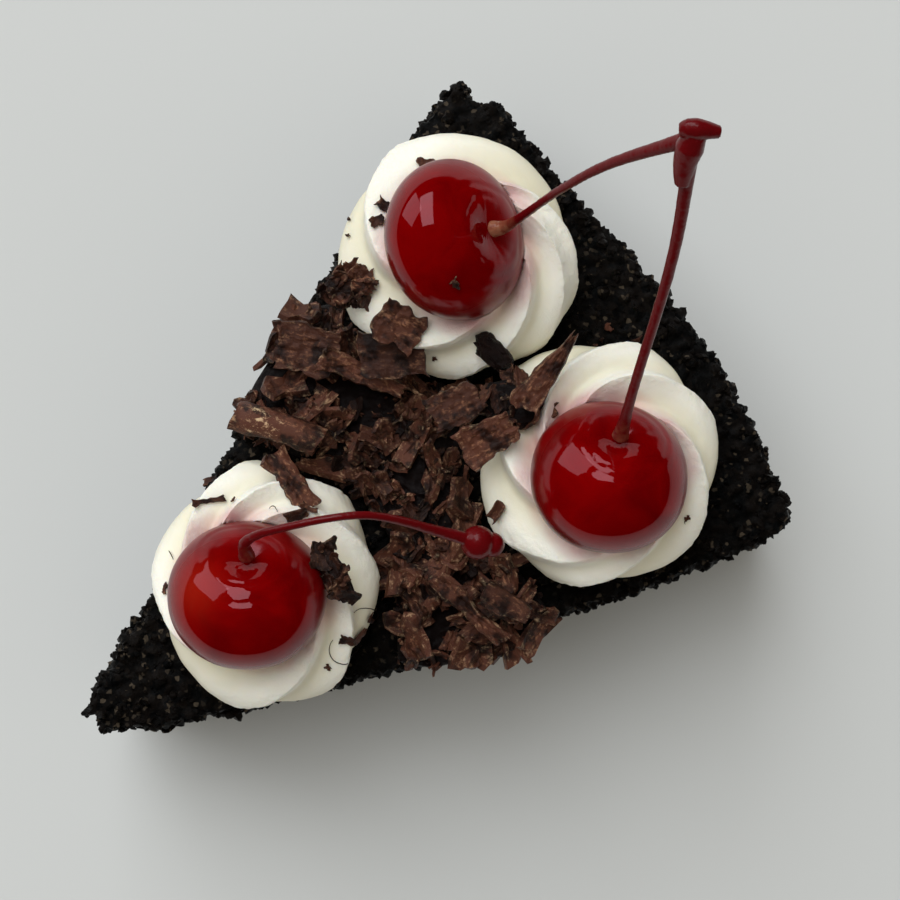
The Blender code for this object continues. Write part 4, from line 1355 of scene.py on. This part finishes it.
def make_chunk(chunk, seed):
    """A torn lump in the place of its CAD node, with plates stuck to it."""
    core = bmesh.new()
    bmesh.ops.create_icosphere(core, subdivisions=4, radius=1.0)
    grain = core.verts.layers.float_vector.new("grain")
    size = Vector(chunk.half_sizes) * MM
    inside = 0.8 if chunk.plates else 1.0
    for corner in core.verts:
        out = corner.co.copy()
        rough = 0.22 * uneven(out, 0.55, seed) + 0.14 * uneven(out, 0.2, seed)
        rough += 0.06 * uneven(out, 0.1, seed)
        out.x = math.copysign(abs(out.x) ** 0.65, out.x)
        corner.co = Vector((out.x * size.x, out.y * size.y, out.z * size.z)) * (inside + rough)
        corner[grain] = corner.co
    shell = shaded_shell()
    add_shell(shell, core, Matrix.Identity(3), Vector(), chunk.core_shade)
    draw = random.Random(int(seed * 10))
    for number in range(chunk.plates):
        around = math.tau * (number + draw.random()) / chunk.plates
        out = draw.uniform(0.35, 0.95)
        place = Vector((size.x * out * math.cos(around), size.y * out * math.sin(around), 0.0))
        place.z = size.z * draw.uniform(0.2, 0.9) * math.sqrt(1.0 - out * out)
        plate = Shaving(
            "plate", draw.uniform(1.8, 3.6), draw.uniform(1.4, 2.6), 0.4,
            draw.uniform(20, 90), draw.uniform(10, 50), draw.uniform(0.0, 0.4),
        )
        turn = Euler([draw.uniform(-0.8, 0.8), draw.uniform(-0.8, 0.8), math.tau * draw.random()])
        part = plate_shell(plate, 9, 7, CHUNK_TEAR, seed + number)
        add_shell(shell, part, turn.to_matrix(), place, draw.uniform(*chunk.plate_shades))
    lay_on_node(shell, chunk.name, Matrix.Rotation(math.radians(chunk.bearing), 3, "Z"))
    return shell


def shaded_shell():
    """An empty shell whose points know their grain and their shade."""
    shell = bmesh.new()
    shell.verts.layers.float_vector.new("grain")
    shell.verts.layers.float.new("shade")
    shell.verts.layers.float.new("rim")
    return shell


class CAKE_OT_large_shavings(bpy.types.Operator):
    """Make each of the large shavings"""

    bl_idname = "cake.large_shavings"
    bl_label = "Large Shavings"

    def execute(self, context):
        material = finish(shaved_dark_chocolate, context.scene.cake_chocolate)
        for number, shaving in enumerate(SHAVINGS + CHUNKS):
            make = make_large_shaving if isinstance(shaving, Shaving) else make_chunk
            mesh = shell_to_mesh(shaving.name, make(shaving, 3.7 * number + 1.3))
            if "shade" not in mesh.attributes:
                note(mesh, "shade", [shaving.shade] * len(mesh.vertices))
            if shaving.name == SCRAPED_SHAVING:
                scrape(mesh, shaving.length * MM)
            mesh.set_sharp_from_angle(angle=SHARP_ANGLE)
            mesh.materials.append(material)
            piece = link(shaving.name + "_torn", mesh)
            hand_over(piece, "dark_chocolate", shaving.name)
        return {"FINISHED"}


def flake_kinds(seed):
    """A few small flakes of different shapes, each of a few dozen faces."""
    kinds = bpy.data.collections.new("flake_kinds")
    draw = random.Random(seed)
    for number in range(FLAKE_KINDS):
        shaving = Shaving(
            f"flake_{number}", 1.0 / MM, draw.uniform(0.45, 0.9) / MM, draw.uniform(0.10, 0.2),
            draw.uniform(15, 120), draw.uniform(10, 70), draw.uniform(0.0, 0.6),
        )
        shell = unit_flake(shaving, draw)
        kinds.objects.link(
            bpy.data.objects.new(shaving.name, shell_to_mesh(shaving.name, shell, smooth=False))
        )
    return kinds


def unit_flake(shaving, draw):
    """A flake one metre long, to be scaled down: 4 by 3 faces on each side."""
    rows = 4
    columns = 3
    jag = [[(draw.uniform(-0.15, 0.15), draw.uniform(-0.17, 0.17)) for _ in range(columns + 1)]
           for _ in range(rows + 1)]

    def corner(side, row, column):
        u = row / rows + jag[row][column][0]
        v = column / columns + jag[row][column][1]
        lift = side * shaving.thickness * draw.uniform(0.5, 1.3)
        place = plate_point(shaving, u, v, lift)
        return place, place, float(row in (0, rows) or column in (0, columns))

    return close_plate(rows, columns, corner)


def flake_scatter_tree(material):
    """Strews flakes of every kind over a surface, each tipped a little out of it."""
    tree, add, given = new_tree(
        "flake_scatter", Float=("Density", "Smallest", "Largest", "Tilt", "Lift", "Narrow"),
        Collection=("Kinds",), Int=("Seed",),
    )
    gaps = add("TexNoise", add("InputPosition"), Scale=per(8.0))
    patchy = add("MapRange", gaps, 0.36, 0.46, To_Max=given["Density"])
    points, size = strew(add, given, 0.1, patchy, 1.8)
    kinds = add(
        "CollectionInfo", Collection=given["Kinds"], Separate_Children=True, Reset_Children=True
    )
    tilt_low = add("Math MULTIPLY", given["Tilt"], -1.0)
    least = add("CombineXYZ", tilt_low, tilt_low, 0.0)
    most = add("CombineXYZ", given["Tilt"], given["Tilt"], math.tau)
    tip = add("RandomValue", least, most, Seed=given["Seed"], data_type="FLOAT_VECTOR")
    tipped = add("EulerToRotation", tip)
    turn = add(
        "RotateRotation", Rotation=points.outputs["Rotation"], Rotate_By=tipped,
        rotation_space="LOCAL",
    )
    narrow = add("CombineXYZ", 1.0, given["Narrow"], 1.0)
    scale = add("VectorMath SCALE", narrow, size)
    lifted = add("SetPosition", points, Offset=add("CombineXYZ", 0.0, 0.0, given["Lift"]))
    laid = add(
        "InstanceOnPoints", Points=lifted, Instance=kinds, Pick_Instance=True, Rotation=turn,
        Scale=scale,
    )
    tone = add("RandomValue", 0.0, 1.0, Seed=given["Seed"])
    shaded = add("StoreNamedAttribute", laid, Name="shade", Value=tone, domain="INSTANCE")
    sized = add("StoreNamedAttribute", shaded, Name="size", Value=size, domain="INSTANCE")
    plain = add("RealizeInstances", sized)
    grain = add("InputNamedAttribute", "grain", data_type="FLOAT_VECTOR")
    own = add("InputNamedAttribute", "size")
    true_grain = add("VectorMath SCALE", grain, own)
    seeded = add("InputNamedAttribute", "shade")
    apart = add("VectorMath SCALE", (1.0, 1.0, 1.0), seeded)
    true_grain = add("VectorMath ADD", true_grain, apart)
    marked = add(
        "StoreNamedAttribute", plain, Name="grain", Value=true_grain, data_type="FLOAT_VECTOR"
    )
    return close_tree(tree, marked, material)


class CAKE_OT_heap(bpy.types.Operator):
    """Heap small shavings over a rough core"""

    bl_idname = "cake.heap"
    bl_label = "Heap"

    def execute(self, context):
        settings = context.scene.cake_chocolate
        material = finish(shaved_dark_chocolate, settings)
        core = link("shavings_core", copy_of_node("shavings_heap"))
        even_out(core, CORE_MESH)
        settle(core)
        mesh = core.data
        base = SPONGE_TOP + GAP
        note(mesh, "grain", [corner.co for corner in mesh.vertices])
        for corner in mesh.vertices:
            rough = 0.45 * uneven(corner.co, 1.3 * MM) + 0.3 * uneven(corner.co, 0.6 * MM)
            above = max(0.0, corner.co.z - base)
            corner.co.z = base + above * CORE_HEIGHT + rough * MM * min(1.0, above / MM)
        mesh.shade_smooth()
        mesh.materials.append(material)
        # Painted shade: the core between the flakes is painted in the dark colour.
        note(mesh, "shade", [0.0] * len(mesh.vertices))
        kinds = flake_kinds(settings.seed)
        tree = flake_scatter_tree(material)
        for layer, flakes in enumerate(FLAKES):
            piece = link(flakes.name, mesh.copy())
            grow(
                piece, tree, Density=getattr(settings, flakes.density),
                Smallest=flakes.smallest * MM, Largest=flakes.largest * MM, Tilt=flakes.tilt,
                Lift=flakes.lift * MM, Narrow=flakes.narrow, Kinds=kinds,
                Seed=settings.seed + layer,
            )
            piece.data.shade_flat()
            hand_over(piece, "dark_chocolate")
        for kind in list(kinds.objects):
            bpy.data.objects.remove(kind)
        bpy.data.collections.remove(kinds)
        hand_over(core, "dark_chocolate", "shavings_heap")
        return {"FINISHED"}


def add_bit(shell, bit, skin, seed):
    """Lay one small flake on whatever lies below its place."""
    shaving = Shaving("bit", bit.length, bit.width, BIT_THICKNESS, bit.curl, 25, 0.25)
    start = spot(bit.x, bit.y, DROP_FROM)
    hit, normal = skin.ray_cast(start, DOWN)[:2]
    if hit is None:
        raise RuntimeError(f"nothing lies below the bit at {bit.x}, {bit.y}")
    turn = Vector((0, 0, 1)).rotation_difference(normal).to_matrix()
    turn @= Matrix.Rotation(math.radians(bit.bearing), 3, "Z")
    flake = plate_shell(shaving, 10, 8, BIT_TEAR, seed)
    add_shell(shell, flake, turn, hit + normal * BIT_THICKNESS * MM, 0.35 + 0.6 * (seed % 1.0))


def add_hair(shell, hair, skin):
    """Lay one thin curled thread of chocolate."""
    grain = shell.verts.layers.float_vector["grain"]
    shade = shell.verts.layers.float["shade"]
    rings = []
    for i in range(HAIR_STEPS + 1):
        angle = math.radians(hair.start + hair.sweep * i / HAIR_STEPS)
        way = Vector((math.cos(angle), math.sin(angle), 0.0))
        start = spot(*hair.at, DROP_FROM) + way * hair.radius * MM
        hit, normal = skin.ray_cast(start, DOWN)[:2]
        middle = hit + normal * (0.15 + 0.35 * math.sin(math.pi * i / HAIR_STEPS)) * MM
        thin = 0.35 + 0.65 * math.sin(math.pi * (0.08 + 0.84 * i / HAIR_STEPS))
        ring = []
        for corner in range(HAIR_SIDES):
            turn = math.tau * corner / HAIR_SIDES
            out = way * math.cos(turn) + Vector((0, 0, math.sin(turn)))
            made = shell.verts.new(middle + out * (HAIR_RADIUS * thin))
            made[grain] = made.co
            made[shade] = 0.2
            ring.append(made)
        rings.append(ring)
    skin_rings(shell, rings)
    shell.faces.new(rings[0][::-1])
    shell.faces.new(rings[-1])


class CAKE_OT_bits(bpy.types.Operator):
    """Drop the small flakes and threads on the cream"""

    bl_idname = "cake.bits"
    bl_label = "Bits"

    def execute(self, context):
        material = finish(shaved_dark_chocolate, context.scene.cake_chocolate)
        ground = [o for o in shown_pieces() if o.name.endswith(("_swirl", "_fruit", "_wedge"))]
        ground.append(bpy.data.objects["shavings_core"])
        skin = skin_of(*ground)
        shell = shaded_shell()
        for number, bit in enumerate(BITS):
            add_bit(shell, bit, skin, 2.37 * number + 0.5)
        for hair in HAIRS:
            add_hair(shell, hair, skin)
        mesh = shell_to_mesh("cream_bits", shell)
        mesh.materials.append(material)
        hand_over(link("cream_bits", mesh), "dark_chocolate")
        return {"FINISHED"}


# ---- stage --------------------------------------------------------------------------------


def plain_floor(settings):
    """Matt painted board: one pale tone with the faintest mottle."""
    made, add, place = new_material("floor_board")
    mottle = add("TexNoise", place, Scale=6.0)
    shade = [c * 0.97 for c in settings.floor]
    colour = add("Mix", mottle, shade, settings.floor, data_type="RGBA")
    shader = add("BsdfPrincipled", Base_Color=colour, Roughness=0.7, Specular_IOR_Level=0.2)
    add("OutputMaterial", Surface=shader)
    return made


CAMERA_HEIGHT = 310.0
CAMERA_OVER = (1.19, 62.68)
CAMERA_RIGHT = Vector((0.6157, 0.7880, 0.0))

# Lights: where each shines from, how far off, how large, its share of the power and whether
# wet surfaces mirror it. The window is two panes, and a light from the ceiling adds the rest.
Light = namedtuple("Light", "name towards distance size share mirrored")
LIGHTS = (
    Light("left_pane", (-0.88, -0.12, 0.46), 3.0, (1.80, 2.20), 7.4, True),
    Light("right_pane", (-0.60, 0.30, 0.74), 3.0, (1.30, 2.60), 11.4, True),
    Light("ceiling", (-0.40, -0.04, 0.92), 3.0, (2.0, 2.0), 14.6, False),
)


class CAKE_OT_stage(bpy.types.Operator):
    """Set out the floor, the soft window light and the camera"""

    bl_idname = "cake.stage"
    bl_label = "Stage"

    def execute(self, context):
        settings = context.scene.cake_stage
        scene = context.scene
        shell = bmesh.new()
        bmesh.ops.create_grid(shell, x_segments=1, y_segments=1, size=2.0)
        floor = link("floor", shell_to_mesh("floor", shell))
        floor.data.transform(Matrix.Translation((0.0, 0.0, -0.02 * MM)))
        floor.data.materials.append(plain_floor(settings))
        floor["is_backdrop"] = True

        room = bpy.data.worlds.new("room")
        room.use_nodes = True
        back = room.node_tree.nodes["Background"]
        back.inputs["Color"].default_value = (1.0, 0.95, 0.85, 1.0)
        back.inputs["Strength"].default_value = settings.sky_strength
        room.cycles_visibility.glossy = False
        scene.world = room
        scene.view_settings.view_transform = "Standard"

        for light in LIGHTS:
            lamp = bpy.data.lights.new(light.name, "AREA")
            lamp.shape = "RECTANGLE"
            lamp.size, lamp.size_y = light.size
            lamp.energy = settings.window_power * light.share
            lamp.color = (0.92, 0.96, 1.0)
            holder = bpy.data.objects.new(light.name, lamp)
            way = Vector(light.towards).normalized()
            holder.location = way * light.distance + Vector((0, 0, SPONGE_TOP))
            holder.rotation_euler = (-way).to_track_quat("-Z", "Y").to_euler()
            holder.visible_glossy = light.mirrored
            holder.visible_camera = False
            scene.collection.objects.link(holder)

        camera = bpy.data.cameras.new("camera")
        camera.lens = settings.lens
        camera.sensor_width = 36.0
        camera.clip_start = 0.01
        view = bpy.data.objects.new("camera", camera)
        up = Vector((0, 0, 1)).cross(CAMERA_RIGHT).normalized()
        axes = Matrix((CAMERA_RIGHT.normalized(), up, Vector((0, 0, 1)))).transposed()
        view.matrix_world = Matrix.Translation(spot(*CAMERA_OVER, CAMERA_HEIGHT)) @ axes.to_4x4()
        scene.collection.objects.link(view)
        scene.camera = view
        return {"FINISHED"}


# ---- add-on -------------------------------------------------------------------------------


class CAKE_PT_slice(bpy.types.Panel):
    """Shows a button for each step that makes the slice"""

    bl_idname = "CAKE_PT_slice"
    bl_label = "Cake Slice"
    bl_space_type = "VIEW_3D"
    bl_region_type = "UI"
    bl_category = "Cake Slice"

    def draw(self, context):
        for step in STEPS:
            self.layout.operator(step.bl_idname)


STEPS = (
    CAKE_OT_sponge, CAKE_OT_crumbs, CAKE_OT_cherries, CAKE_OT_cream, CAKE_OT_stems,
    CAKE_OT_large_shavings, CAKE_OT_heap, CAKE_OT_bits, CAKE_OT_stage,
)
SETTINGS = {
    "cake_sponge": SpongeSettings, "cake_cream": CreamSettings, "cake_cherry": CherrySettings,
    "cake_stem": StemSettings, "cake_chocolate": ChocolateSettings, "cake_stage": StageSettings,
}


def register():
    """Add the settings, the steps and the panel."""
    for name, group in SETTINGS.items():
        bpy.utils.register_class(group)
        setattr(bpy.types.Scene, name, PointerProperty(type=group))
    for step in STEPS + (CAKE_PT_slice,):
        bpy.utils.register_class(step)


def unregister():
    """Take them away again."""
    for step in STEPS + (CAKE_PT_slice,):
        bpy.utils.unregister_class(step)
    for name, group in SETTINGS.items():
        delattr(bpy.types.Scene, name)
        bpy.utils.unregister_class(group)


def main():
    """Make every piece in order."""
    register()
    bpy.ops.cake.sponge()
    bpy.ops.cake.crumbs()
    bpy.ops.cake.cherries()
    bpy.ops.cake.cream()
    bpy.ops.cake.stems()
    bpy.ops.cake.large_shavings()
    bpy.ops.cake.heap()
    bpy.ops.cake.bits()
    bpy.ops.cake.stage()


if __name__ == "__main__":
    main()
